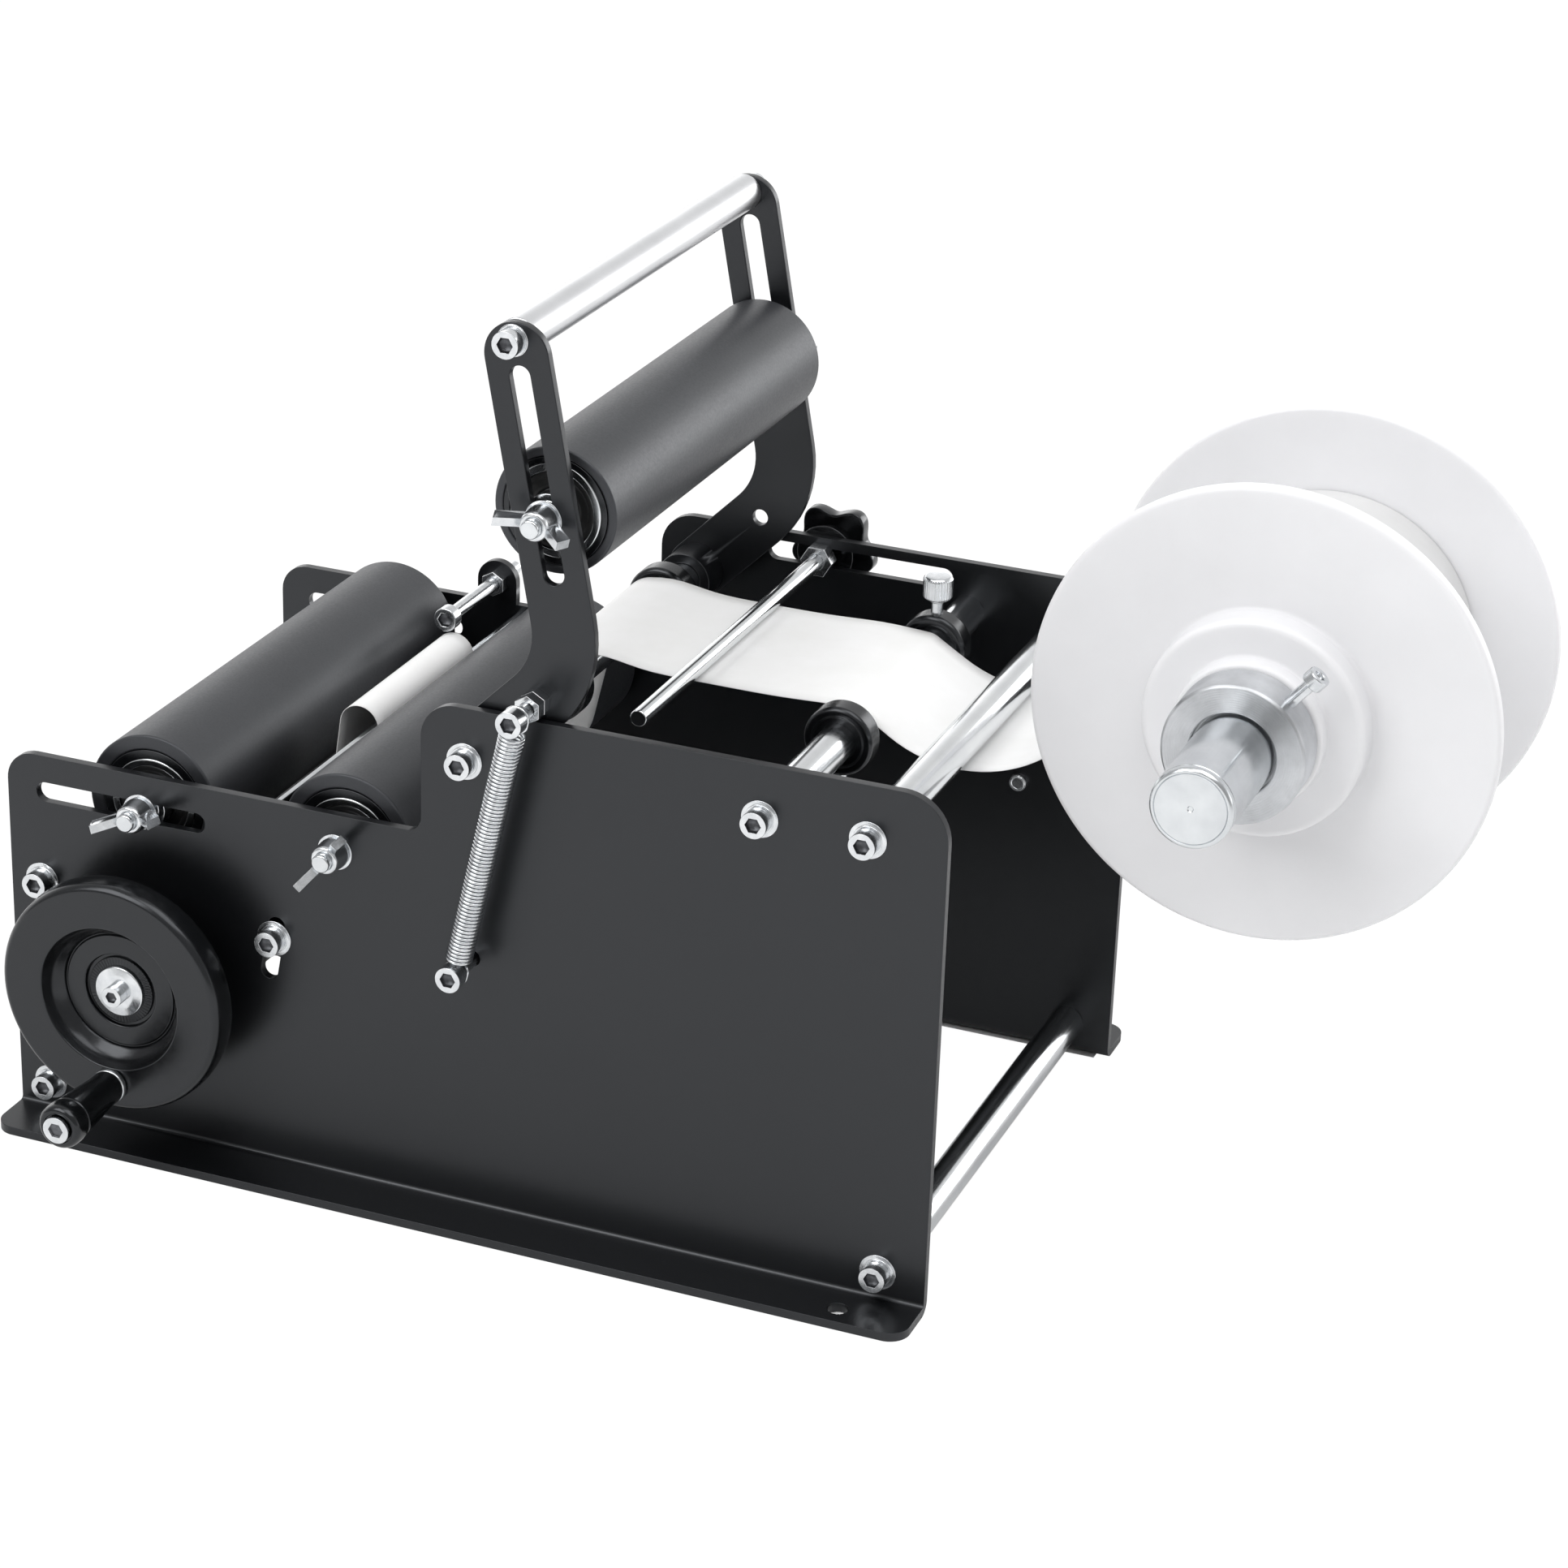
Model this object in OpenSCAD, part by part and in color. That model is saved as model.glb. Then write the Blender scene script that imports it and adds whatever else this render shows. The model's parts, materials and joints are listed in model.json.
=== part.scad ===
// Hand-cranked bottle labeling machine for the bench top.
// +X runs from the bottle end to the label reel, +Y from the near plate to the far plate, +Z is up.
// The origin is at the middle of the four foot holes, on the surface that the feet stand on.

/* [Side plates] */
// Length of each side plate
plate_len = 320; // [310:1:360]
// Width over the outside of the two side plates
frame_w = 190; // [180:1:230]
// Thickness of the side plates
plate_t = 3; // [2:0.5:4]
// Height of the low front part of the plates
low_h = 130; // [127:0.5:132]
// Height of the tall rear part of the plates above the guide rods
high_over = 17.5; // [15:0.5:17.5]
// Length of the low part, from the front end to the step
step_len = 148; // [146:1:150]
// Radius of the front top corner
front_corner_r = 10; // [4:1:14]
// Radius of the top corner at the step
step_corner_r = 12; // [4:1:14]
// Radius of the rear top corner
rear_corner_r = 15; // [4:1:18]
// Radius in the inside corner of the step
step_fillet_r = 5; // [2:1:8]
// Radius in the inside of the bend between a plate and its foot flange
bend_r = 1.5; // [1:0.5:2.5]
// Width of each foot flange outside its plate
flange_w = 19; // [18:1:26]
// Radius of the foot flange corners
flange_corner_r = 7; // [3:1:9]
// Spacing of the foot holes along the plates
foot_span = 272; // [240:1:290]
// Distance of the foot holes from the outside of the plates
foot_offset = 11.5; // [10:0.5:12]
// Diameter of the foot holes
foot_hole_d = 6.5; // [5:0.5:8]

/* [Fasteners] */
// Diameter of the frame screws
screw_d = 5; // [4:0.5:5]
// Diameter of the screw heads
screw_head_d = 8.5; // [8:0.5:9]
// Height of the screw heads
screw_head_h = 5; // [4:0.5:6]
// Width across the flats of the screw sockets
screw_key = 4.5; // [4:0.1:5]
// Length of thread that the screws hold in a rod
screw_hold = 10; // [8:1:16]
// Diameter of the flat washers
washer_d = 12; // [11:0.5:13]
// Thickness of the flat washers
washer_t = 1; // [0.8:0.1:1.2]
// Width across the flats of the screw nuts
nut_af = 8; // [8:0.5:8.5]
// Height of the screw nuts
nut_h = 4; // [3:0.5:4]
// Span of the wing nuts, tip to tip
wing_span = 25; // [22:1:27]
// Height of the wing nuts
wing_h = 13; // [11:0.5:14]
// Thickness of the wings
wing_t = 2.4; // [2:0.2:3]

/* [Tie and guide rods] */
// Diameter of the tie rods, the guide rods, the lever pivot shaft and the handle bar
rod_d = 12; // [11:0.5:13]
// Distance of the front tie rods from the front end of the plates
tie_front_inset = 11.5; // [10:0.5:12]
// Height of the upper front tie rod
tie_top_z = 86; // [84:1:94]
// Height of the lower tie rods
tie_low_z = 12; // [11:0.5:14]
// Distance of the rear tie rod from the rear end of the plates
tie_rear_inset = 15.5; // [12:0.5:20]
// Height of the guide rods and the lever pivot
guide_z = 157; // [156:0.5:158]
// Distance of the front guide rod from the rear end of the plates
guide_front_inset = 59.5; // [57:0.5:62]
// Distance of the rear guide rod from the rear end of the plates
guide_rear_inset = 25; // [22:0.5:28]

/* [Bottle rollers] */
// Diameter of the two bottle rollers
roller_d = 46; // [42:1:47]
// Diameter of the metal core inside a bottle or take-up roller
core_d = 36; // [34:1:38]
// Distance of the bottle roller axles below the top of the low front part
roller_drop = 12.6; // [12:0.1:14]
// Distance of the front roller axle from the front end of the plates
front_roller_at = 48.7; // [46:0.1:50]
// Distance of the rear roller axle from the front end of the plates
rear_roller_at = 118.2; // [117:0.1:121]
// Gap between a bottle roller's end and its side plate
roller_end_gap = 5; // [4:0.5:7]
// Distance of the first end of the front axle slot from the front end of the plates
slot_from = 14; // [12:0.5:16]
// Distance of the last end of the front axle slot from the front end of the plates
slot_to = 68.5; // [56:0.5:70]
// Outside diameter of the roller bearings
bearing_d = 30; // [28:0.5:30]
// Width of the roller bearings
bearing_w = 9; // [8:0.5:10]
// Diameter of the roller axles
axle_d = 10; // [9:0.5:11]
// Diameter of the threaded axle ends
axle_end_d = 6; // [5:0.5:6]
// Width of the slots that the axle ends move in
axle_slot_w = 6.8; // [6.8:0.1:7.5]
// Outside diameter of the spacers beside the bearings
spacer_d = 14; // [13.5:0.5:15]

/* [Peel plate and label web] */
// Thickness of the peel plate
peel_t = 1.5; // [1:0.1:2]
// Lean of the peel plate and of its slots from upright
peel_lean = 9.8; // [8:0.1:11]
// Gap between the peel plate and the rear roller at the height of the axle
peel_gap = 2.7; // [2.4:0.1:3.5]
// Height of the peel edge above the roller axles
peel_rise = 8.8; // [8:0.1:9.5]
// Height of the peel plate along its slope
peel_h = 54; // [48:1:58]
// Distance of the ear screws from the face of the peel plate
peel_ear_reach = 9.5; // [9:0.5:11]
// Distance of the ear screws below the peel edge, along the slope
peel_ear_drop = 42.5; // [40:0.5:44]
// Length of the ears of the peel plate
peel_ear_l = 18; // [17:0.5:19]
// Height of the ears of the peel plate
peel_ear_h = 16; // [14:0.5:18]
// Width of the slots for the ear screws
peel_slot_w = 6; // [5.5:0.1:6.5]
// Travel of the ear screws in their slots
peel_slot_l = 16.5; // [14:0.5:18]
// Distance of the ear screws from the upper end of their travel
peel_slot_up = 4.5; // [3:0.5:6]
// Width of the label web
web_w = 72; // [50:1:80]
// Distance of the middle of the web from the middle of the machine
web_offset = 16; // [10:0.5:18]
// Thickness of the web
web_t = 0.3; // [0.2:0.05:0.4]
// Gap between the web and what it passes over
web_gap = 0.35; // [0.3:0.05:0.4]
// Radius of the web's sag between the label roll and the rear guide rod
sag_r = 46; // [40:1:47]
// Radius of the loose loop of web over the peel edge
peel_loop_r = 7; // [6.8:0.1:7.2]
// Turn of the web round the take-up roller, in degrees
take_up_wrap = 240; // [120:5:280]

/* [Web guide collars] */
// Outside diameter of the guide collars
collar_d = 23; // [22:0.5:24]
// Width of the guide collars
collar_w = 9; // [7:0.5:10]
// Gap between a collar and the edge of the web
collar_gap = 2.5; // [1:0.5:4]
// Diameter of the thumb screw heads
thumb_d = 10; // [9:0.5:11]
// Height of the thumb screw heads
thumb_h = 8; // [6:0.5:9]
// Diameter of the thumb screw threads
thumb_thread_d = 4; // [3:0.5:5]
// Gap between a collar and the head of its thumb screw
thumb_stand = 5; // [3:0.5:6]

/* [Hold-down rod] */
// Diameter of the hold-down rod
hold_d = 5.5; // [5:0.1:5.6]
// Distance of the hold-down rod above the guide rods
hold_rise = 10.5; // [10.4:0.1:11]
// Distance of the hold-down rod from the lever pivot
hold_at = 44; // [42:0.5:48]
// Distance of the rod's free end from the near plate
hold_end_gap = 28; // [20:1:40]
// Distance of the first end of the hold-down slot from the lever pivot
hold_slot_from = 28; // [26:0.5:32]
// Distance of the last end of the hold-down slot from the lever pivot
hold_slot_to = 88; // [82:0.5:89]
// Width of the hold-down slot
hold_slot_w = 7; // [6.5:0.1:7.5]
// Diameter of the star knob
knob_d = 31; // [29:0.5:32]
// Diameter of the star knob's neck
knob_neck_d = 12; // [11:0.5:13]
// Height of the star knob's neck
knob_neck = 7.4; // [7:0.2:10]
// Height of the star knob's lobes
knob_h = 7; // [6:0.5:10]
// Number of lobes on the star knob
knob_lobes = 5; // [4:1:7]
// Diameter of each lobe of the star knob
knob_lobe_d = 8.6; // [8:0.2:10]
// Width across the flats of the hold-down nut
hold_nut_af = 10; // [9:0.5:10]

/* [Lever] */
// Distance of the lever pivot behind the step
pivot_in = 15; // [13:0.5:17]
// Length of the lever's lower leg, pivot to bend
lower_leg = 47; // [46:0.5:50]
// Slope of the lower leg from level
lower_slope = 45; // [43:0.5:46]
// Length of the lever's upper leg, bend to handle bar
upper_leg = 104; // [102:0.5:112]
// Lean of the upper leg from upright, towards the bottle end
upper_lean = 10.9; // [8:0.1:12]
// Width of the lever arms
arm_w = 21; // [20:0.5:22]
// Thickness of the lever arms
arm_t = 3; // [2:0.5:4]
// Radius in the inside of the lever's bend
arm_fillet_r = 20; // [14:0.5:22]
// Distance of the handle bar above the middle of the arms' round ends
handle_rise = 5; // [3:0.5:5.5]
// Diameter of the washers under the handle screws
handle_washer_d = 10; // [9.5:0.5:10.5]
// Diameter of the washers between the lever arms and the plates
pivot_washer_d = 18; // [17:0.5:20]
// Diameter of the pivot bosses on the lever arms
boss_d = 19; // [18:0.5:20]
// Length of the pivot bosses
boss_l = 12; // [8:0.5:14]
// Distance of the upper end of the press roller slot below the handle bar
press_slot_top = 11.2; // [11:0.1:14]
// Distance of the lower end of the press roller slot below the handle bar
press_slot_low = 72.5; // [70:0.5:74]
// Distance of the spring stud from the pivot, along the lower leg
stud_at = 32; // [31.5:0.1:33]

/* [Press roller] */
// Diameter of the press roller
press_d = 40; // [36:0.5:42]
// Diameter of the metal core inside the press roller
press_core_d = 34; // [33:0.5:35]
// Distance of the press roller axle above the lever's bend, along the upper leg
press_at = 49; // [47:0.5:52]
// Gap between the press roller's ends and the lever arms
press_end_gap = 5; // [4:0.5:7]

/* [Lever spring] */
// Mean diameter of the coils
coil_d = 6.8; // [6.8:0.1:7.2]
// Diameter of the spring wire
wire_d = 1.15; // [1:0.05:1.15]
// Rise of the spring in one coil
coil_pitch = 1.68; // [1.66:0.01:1.7]
// Number of coils
coil_turns = 46; // [36:2:46]
// Distance of the anchor screw behind the lever pivot
anchor_in = 2.6; // [2:0.1:4.5]
// Height of the anchor screw
anchor_z = 90.4; // [89:0.1:92]
// Distance of the spring's middle from the outside of the near plate
spring_stand = 11.6; // [11:0.1:12]

/* [Crank and take-up roller] */
// Distance of the crank shaft from the front end of the plates
crank_at = 49; // [48:0.5:52]
// Distance of the crank shaft below the bottle roller axles
crank_drop = 56; // [55:0.2:58]
// Diameter of the crank shaft
crank_shaft_d = 10; // [8:0.5:11]
// Diameter of the take-up roller
take_up_d = 46; // [40:1:47]
// Outside diameter of the bushes in the plates
bush_d = 14; // [13.5:0.5:16]
// Diameter of the flanges of the bushes
bush_flange_d = 18; // [17:0.5:20]
// Thickness of the flanges of the bushes
bush_flange_t = 2; // [1.5:0.5:2.5]
// Diameter of the handwheel
wheel_d = 79.6; // [76:0.2:82]
// Distance of the handwheel's widest circle from the near plate
wheel_stand = 17; // [16:0.5:19]
// Depth of the rim in front of the widest circle
rim_front = 7.3; // [6:0.1:9]
// Depth of the rim behind the widest circle
rim_back = 6; // [4:0.1:7]
// Diameter of the dished recess in the front of the handwheel
recess_d = 49.2; // [47:0.2:51]
// Diameter of the handwheel's hub
wheel_hub_d = 26.6; // [24:0.2:30]
// Diameter of the flat floor of that recess
recess_floor_d = 40; // [36:0.2:42]
// Thickness of the handwheel's web
wheel_web_t = 7; // [5:0.5:8]
// Diameter of the handwheel washer
wheel_washer_d = 17.6; // [16:0.2:20]
// Thickness of the handwheel washer
wheel_washer_t = 1.7; // [1:0.1:2.5]
// Distance of the grip from the crank shaft
grip_at = 30.2; // [29:0.2:31]
// Length of the grip
grip_l = 33; // [28:1:40]
// Diameter of the grip at its free end
grip_d = 15.4; // [13:0.2:16]
// Diameter of the grip beside the handwheel
grip_base_d = 11; // [10:0.2:13]
// Diameter of the grip bolt
grip_bolt_d = 6; // [5:0.5:6.5]
// Diameter of the grip bolt's head
grip_head_d = 9; // [8:0.5:10]

/* [Label reel] */
// Distance of the reel shaft behind the rear end of the plates
reel_out = 73.4; // [73.2:0.1:76]
// Height of the reel shaft
reel_z = 188.7; // [187:0.1:192]
// Diameter of the reel shaft
reel_shaft_d = 25; // [22:0.5:26]
// Distance of the reel shaft's free end outside the near plate
reel_shaft_over = 6; // [0:1:12]
// Diameter of the reel discs
disc_d = 145; // [130:1:146]
// Thickness of the reel discs
disc_t = 5; // [3:0.5:6]
// Diameter of the bosses on the reel discs
disc_boss_d = 69; // [60:0.5:75]
// Length of the bosses on the reel discs
disc_boss_l = 10; // [6:0.5:12]
// Diameter of the shoulders on the bosses
disc_shoulder_d = 46.5; // [44:0.5:56]
// Length of the shoulders on the bosses
disc_shoulder_l = 6; // [3:0.5:8]
// Outside diameter of the label roll
roll_d = 92; // [60:1:94]
// Play of the label roll's core on the reel shaft
roll_play = 0.2; // [0.1:0.05:0.4]
// Slack between the label roll and the front disc
roll_slack = 3; // [1:0.5:5]
// Diameter of the clamp collar
clamp_d = 44; // [40:0.5:48]
// Width of the clamp collar
clamp_w = 14.5; // [10:0.5:18]
// Diameter of the clamp screw
clamp_screw_d = 4; // [3:0.5:5]
// Diameter of the clamp screw's head
clamp_head_d = 7; // [6:0.5:8]
// Distance from the reel shaft's axis to the seat of the clamp screw's head
clamp_head_at = 31; // [28:0.5:34]
// Turn of the clamp screw from upright, towards the rear
clamp_turn = 40; // [0:1:60]
// Thickness of the reel bracket
bracket_t = 5; // [4:0.5:6]
// Width of the reel bracket
bracket_w = 36; // [32:1:40]
// Distance of the first bracket screw from the rear end of the plates
bracket_inset = 38; // [36:0.5:42]
// Height of the first bracket screw
bracket_z = 98.8; // [96:0.2:104]
// Spacing of the bracket screws
bracket_pitch = 28; // [24:0.5:30]
// Diameter of the bracket screws
bracket_screw_d = 6; // [5:0.5:6.5]
// Diameter of the spacer on the reel shaft beside the bracket
shaft_shoulder_d = 34; // [30:1:36]
// Width across the flats of the reel shaft's nut
shaft_nut_af = 13; // [12:0.5:14]
// Diameter of the threaded end of the reel shaft
shaft_end_d = 8; // [6:0.5:8]

/* [Bottle stop] */
// Distance of the stop screw from the front end of the plates
stop_at = 85.4; // [84:0.1:88]
// Distance of the stop screw above the low front part
stop_rise = 7.8; // [7.6:0.1:9]
// Width of the ear that carries the stop screw
ear_w = 15; // [13:0.5:17]
// Distance of the stop screw's head from the far plate
stop_reach = 37; // [30:1:44]
// Length of the stop screw outside the far plate
stop_over = 12; // [10:1:16]

/* [Hidden] */
$fn = 64;
fit = 0.05;
gap = 0.3;
cut = 1;
socket_share = 0.6;
arc_step = 6;
web_arc_step = 9;
front_end = -plate_len / 2;
rear_end = plate_len / 2;
outer_y = frame_w / 2;
inner_y = outer_y - plate_t;
step_x = front_end + step_len;
high_h = guide_z + high_over;
hold_z = guide_z + hold_rise;
roller_z = low_h - roller_drop;
crank_z = roller_z - crank_drop;
stop_z = low_h + stop_rise;
screw_hole_d = screw_d + 0.5;
screw_l = washer_t + plate_t + screw_hold;
head_y = outer_y + washer_t;

// Places of the rods and axles, each as [x, z]
tie_rod_at = [
    [front_end + tie_front_inset, tie_top_z],
    [front_end + tie_front_inset, tie_low_z],
    [rear_end - tie_rear_inset, tie_low_z]];
guide_front = [rear_end - guide_front_inset, guide_z];
guide_rear = [rear_end - guide_rear_inset, guide_z];
pivot = [step_x + pivot_in, guide_z];
front_axle = [front_end + front_roller_at, roller_z];
rear_axle = [front_end + rear_roller_at, roller_z];
crank = [front_end + crank_at, crank_z];
reel = [rear_end + reel_out, reel_z];
stop = [front_end + stop_at, stop_z];
hold = [pivot.x + hold_at, hold_z];
anchor = [pivot.x + anchor_in, anchor_z];
screwed_rods = concat(tie_rod_at, [guide_front, guide_rear, pivot]);

// Lever: the lower leg climbs from the pivot to the bend, the upper leg from there to the bar
lower_way = [cos(lower_slope), sin(lower_slope)];
upper_way = [-sin(upper_lean), cos(upper_lean)];
bend = pivot + lower_leg * lower_way;
handle = bend + upper_leg * upper_way;
arm_end = handle - handle_rise * upper_way;
stud = pivot + stud_at * lower_way;
press = bend + press_at * upper_way;
lever_turn = 90 + upper_lean - lower_slope;
arm_y = inner_y - washer_t;
arm_in_y = arm_y - arm_t;
fillet_centre = bend + (arm_w / 2 + arm_fillet_r) / cos(lever_turn / 2)
    * [cos(lower_slope + lever_turn / 2 + 90), sin(lower_slope + lever_turn / 2 + 90)];
arm_loop = [
    [pivot, arm_w / 2, 1],
    [fillet_centre, arm_fillet_r + arm_w, 1],
    [arm_end, arm_w / 2, 1],
    [fillet_centre, arm_fillet_r, -1]];
press_slot_loop = [
    [handle - press_slot_low * upper_way, axle_slot_w / 2, 1],
    [handle - press_slot_top * upper_way, axle_slot_w / 2, 1]];
spring_y = -outer_y - spring_stand;
spring_head_y = spring_y - wire_d / 2 - 0.4;

// Peel plate: its slope runs along peel_way, and peel_edge is the top of the face by the roller
peel_way = [sin(peel_lean), cos(peel_lean)];
peel_out = [cos(peel_lean), -sin(peel_lean)];
peel_foot = [rear_axle.x - roller_d / 2 - peel_gap, roller_z];
peel_edge = peel_foot + peel_rise / peel_way.y * peel_way;
peel_screw = peel_edge - peel_ear_drop * peel_way + peel_ear_reach * peel_out;

// Label web: it runs over circles of [centre, radius, turn], and turn is 1 to the left, -1 to the right
web_near = web_offset - web_w / 2;
web_far = web_offset + web_w / 2;
web_lift = web_gap + web_t / 2;
pivot_slack = [-2, -2.7];
web_guides = [
    [reel, roll_d / 2 + web_lift, 1],
    [guide_rear + [2, sag_r - rod_d / 2 - web_lift], sag_r, -1],
    [guide_front, rod_d / 2 + web_lift, 1],
    [pivot + pivot_slack, rod_d / 2 + norm(pivot_slack) + web_lift, 1],
    [rear_axle, roller_d / 2 + web_lift, -1],
    [peel_edge + [-5.7, -0.3], peel_loop_r, 1],
    [crank, take_up_d / 2 + web_lift, -1]];
web_legs = [for (i = [0 : len(web_guides) - 2]) line_heading(web_guides[i], web_guides[i + 1])];
web_in = concat([web_legs[0]], web_legs);
web_out = concat(web_legs, [web_legs[len(web_legs) - 1] - take_up_wrap]);

// Reel: places along Y
disc_front_y = web_near - roll_slack - disc_t;
disc_rear_y = web_far + gap;
clamp_y = disc_front_y - disc_boss_l - disc_shoulder_l - gap;
shaft_shoulder_y = disc_rear_y + disc_t + disc_boss_l + disc_shoulder_l + gap;
bracket_first = [rear_end - bracket_inset, bracket_z];
bracket_way = (reel - bracket_first) / norm(reel - bracket_first);
bracket_second = bracket_first + bracket_pitch * bracket_way;
bracket_loop = [[bracket_first, bracket_w / 2, 1], [reel, bracket_w / 2, 1]];

// Crank: places along Y, outwards from the near plate
wheel_y = -outer_y - wheel_stand;
wheel_back_y = -outer_y - bush_flange_t - gap;
wheel_face_y = wheel_y - rim_front;
crank_end_y = outer_y + bush_flange_t;
grip = crank + [0, -grip_at];
grip_y = wheel_face_y - gap;

// Heading of the straight line from one circle of [centre, radius, turn] to the next
function line_heading(a, b) =
    let (d = b[0] - a[0])
    atan2(d.y, d.x) + asin((a[2] * a[1] - b[2] * b[1]) / norm(d));

// Turn from one heading to the next, the way that the line turns on its circle
function turn_between(from, to, turn) =
    let (raw = turn * (to - from))
    turn * (raw - 360 * floor(raw / 360));

// Points along a closed line that runs round circles of [centre, radius, turn]
function loop_points(c) = [
    for (i = [0 : len(c) - 1])
        let (
            before = c[(i + len(c) - 1) % len(c)],
            after = c[(i + 1) % len(c)],
            from = line_heading(before, c[i]),
            turn = turn_between(from, line_heading(c[i], after), c[i][2]),
            steps = max(1, ceil(abs(turn) / arc_step)))
        for (k = [0 : steps])
            let (heading = from + turn * k / steps)
            c[i][0] + c[i][2] * c[i][1] * [sin(heading), -cos(heading)]];

// Points on one side of the web, out from its middle line by side
function web_side(side) = [
    for (i = [0 : len(web_guides) - 1])
        let (
            guide = web_guides[i],
            turn = turn_between(web_in[i], web_out[i], guide[2]),
            steps = max(1, ceil(abs(turn) / web_arc_step)))
        for (k = [0 : steps])
            let (heading = web_in[i] + turn * k / steps, across = [sin(heading), -cos(heading)])
            guide[0] + (guide[2] * guide[1] - side) * across];

// Middle line of the spring in its own frame: the anchor screw at 0, the stud at z = spring_l
spring_l = norm(stud - anchor);
spring_turn = atan2((stud - anchor).x, (stud - anchor).y);
coil_r = coil_d / 2;
coil_from = (spring_l - coil_turns * coil_pitch) / 2;
rings = 8;
wire_sides = 6;
hook_turn = 235;
hook_steps = 12;
function hook_point(a) = [coil_r * cos(a), 0, coil_r * sin(a)];
hook_end = hook_point(hook_turn) + wire_d * [-sin(hook_turn), 0, cos(hook_turn)];
hook_arc = concat(
    [for (k = [0 : hook_steps]) hook_point(hook_turn * k / hook_steps)], [hook_end]);
half_coil = [
    for (i = [0 : coil_turns * rings / 2 - rings / 2])
        let (a = 360 * i / rings)
        [coil_r * cos(a), coil_r * sin(a), spring_l / 2 + coil_pitch * i / rings]];
hook_rise = [
    for (i = [1 : rings])
        let (
            share = i / rings,
            a = 360 * (coil_turns / 2 - 0.5) + 180 * share,
            top = spring_l - coil_r * 0.4,
            base = spring_l / 2 + coil_pitch * (coil_turns / 2 - 0.5))
        [coil_r * cos(a), coil_r * sin(a) * (1 - share), base + (top - base) * share * share]];
upper_half = concat(
    half_coil, hook_rise, [for (p = hook_arc) [p.x * cos(180 * coil_turns), p.y, p.z + spring_l]]);
lower_half = [
    for (i = [len(upper_half) - 1 : -1 : 1])
        let (p = upper_half[i])
        [p.x, -p.y, spring_l - p.z]];
spring_line = concat(lower_half, upper_half);
spring_gap = min([
    for (i = [0 : len(spring_line) - 1], j = [i + rings - 2 : i + 3 * rings])
        if (j < len(spring_line)) norm(spring_line[i] - spring_line[j])]) - wire_d;
echo(spring_gap = spring_gap);

function unit(v) = v / norm(v);
function line_way(p, i) = unit(p[min(i + 1, len(p) - 1)] - p[max(i - 1, 0)]);
function square_to(v, way) = unit(v - (v * way) * way);

// Directions across a line of points, each carried on from the one before
function line_across(p) = [
    for (i = 0, across = square_to([0.3, 1, 0.2], line_way(p, 0));
        i < len(p);
        i = i + 1, across = i < len(p) ? square_to(across, line_way(p, i)) : across)
        across];

// Closed tube of wire along a line of points
module wire_tube(p, d, sides) {
    across = line_across(p);
    points = [
        for (i = [0 : len(p) - 1], k = [0 : sides - 1])
            let (a = 360 * k / sides, side = cross(line_way(p, i), across[i]))
            p[i] + d / 2 * (cos(a) * across[i] + sin(a) * side)];
    walls = [
        for (i = [0 : len(p) - 2], k = [0 : sides - 1], half = [0, 1])
            let (a = i * sides + k, b = i * sides + (k + 1) % sides)
            half == 0 ? [a, a + sides, b] : [b, a + sides, b + sides]];
    last = (len(p) - 1) * sides;
    caps = [
        for (k = [1 : sides - 2], end = [0, 1])
            end == 0 ? [0, k, k + 1] : [last, last + k + 1, last + k]];
    polyhedron(points = points, faces = concat(walls, caps));
}

// Round bar along Y between two places
module bar(at, from, to, d) {
    translate([at.x, from, at.y]) rotate([-90, 0, 0]) cylinder(d = d, h = to - from);
}

// Round bar along Y with a bore through it
module ring(at, from, to, d, bore) {
    difference() {
        bar(at, from, to, d);
        bar(at, from - cut, to + cut, bore);
    }
}

// Hexagonal nut along Y, with a corner or a flat downwards
module hex_nut(at, from, to, af, bore, corner_down = true) {
    difference() {
        translate([at.x, from, at.y])
            rotate([-90, corner_down ? 30 : 0, 0])
            cylinder(d = af / cos(30), h = to - from, $fn = 6);
        bar(at, from - cut, to + cut, bore);
    }
}

// What is drawn with +Z outwards, set on a side: -1 is the near side, 1 the far side
module on_side(at, y, side) {
    translate([at.x, side * y, at.y]) rotate([-90 * side, 0, 0]) children();
}

// Socket head screw with the seat of its head at 0 and its thread towards -Z
module socket_screw(d, l, head_d, head_h, key) {
    difference() {
        cylinder(d = head_d, h = head_h);
        translate([0, 0, head_h * (1 - socket_share)])
            cylinder(d = key / cos(30), h = head_h, $fn = 6);
    }
    translate([0, 0, -l]) cylinder(d = d, h = l + head_h / 4);
}

module frame_screw(at, y, side, l) {
    on_side(at, y, side) socket_screw(screw_d, l, screw_head_d, screw_head_h, screw_key);
}

// Wing nut standing on 0, with a bore for a threaded axle end
module wing_nut() {
    boss_wall = 2.3;
    boss_taper = 0.8;
    boss_share = 0.55;
    boss_r = axle_end_d / 2 + boss_wall;
    difference() {
        union() {
            cylinder(r1 = boss_r, r2 = boss_r - boss_taper, h = wing_h * boss_share);
            for (s = [0, 180])
                rotate([90, 0, s])
                linear_extrude(wing_t, center = true)
                wing_outline(boss_r);
        }
        translate([0, 0, -cut]) cylinder(d = axle_end_d + 2 * fit, h = wing_h + 2 * cut);
    }
}

// Wing seen from the side, rising from the boss to a square tip
module wing_outline(boss_r) {
    foot = 0.8;
    root = 1.6;
    heel = 0.4;
    tip_w = 5.2;
    tip_in = 1.8;
    polygon([
        [boss_r - root, foot], [boss_r - heel, foot], [wing_span / 2, wing_h - tip_w],
        [wing_span / 2 - tip_in, wing_h], [boss_r - root, wing_h / 2]]);
}

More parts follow.
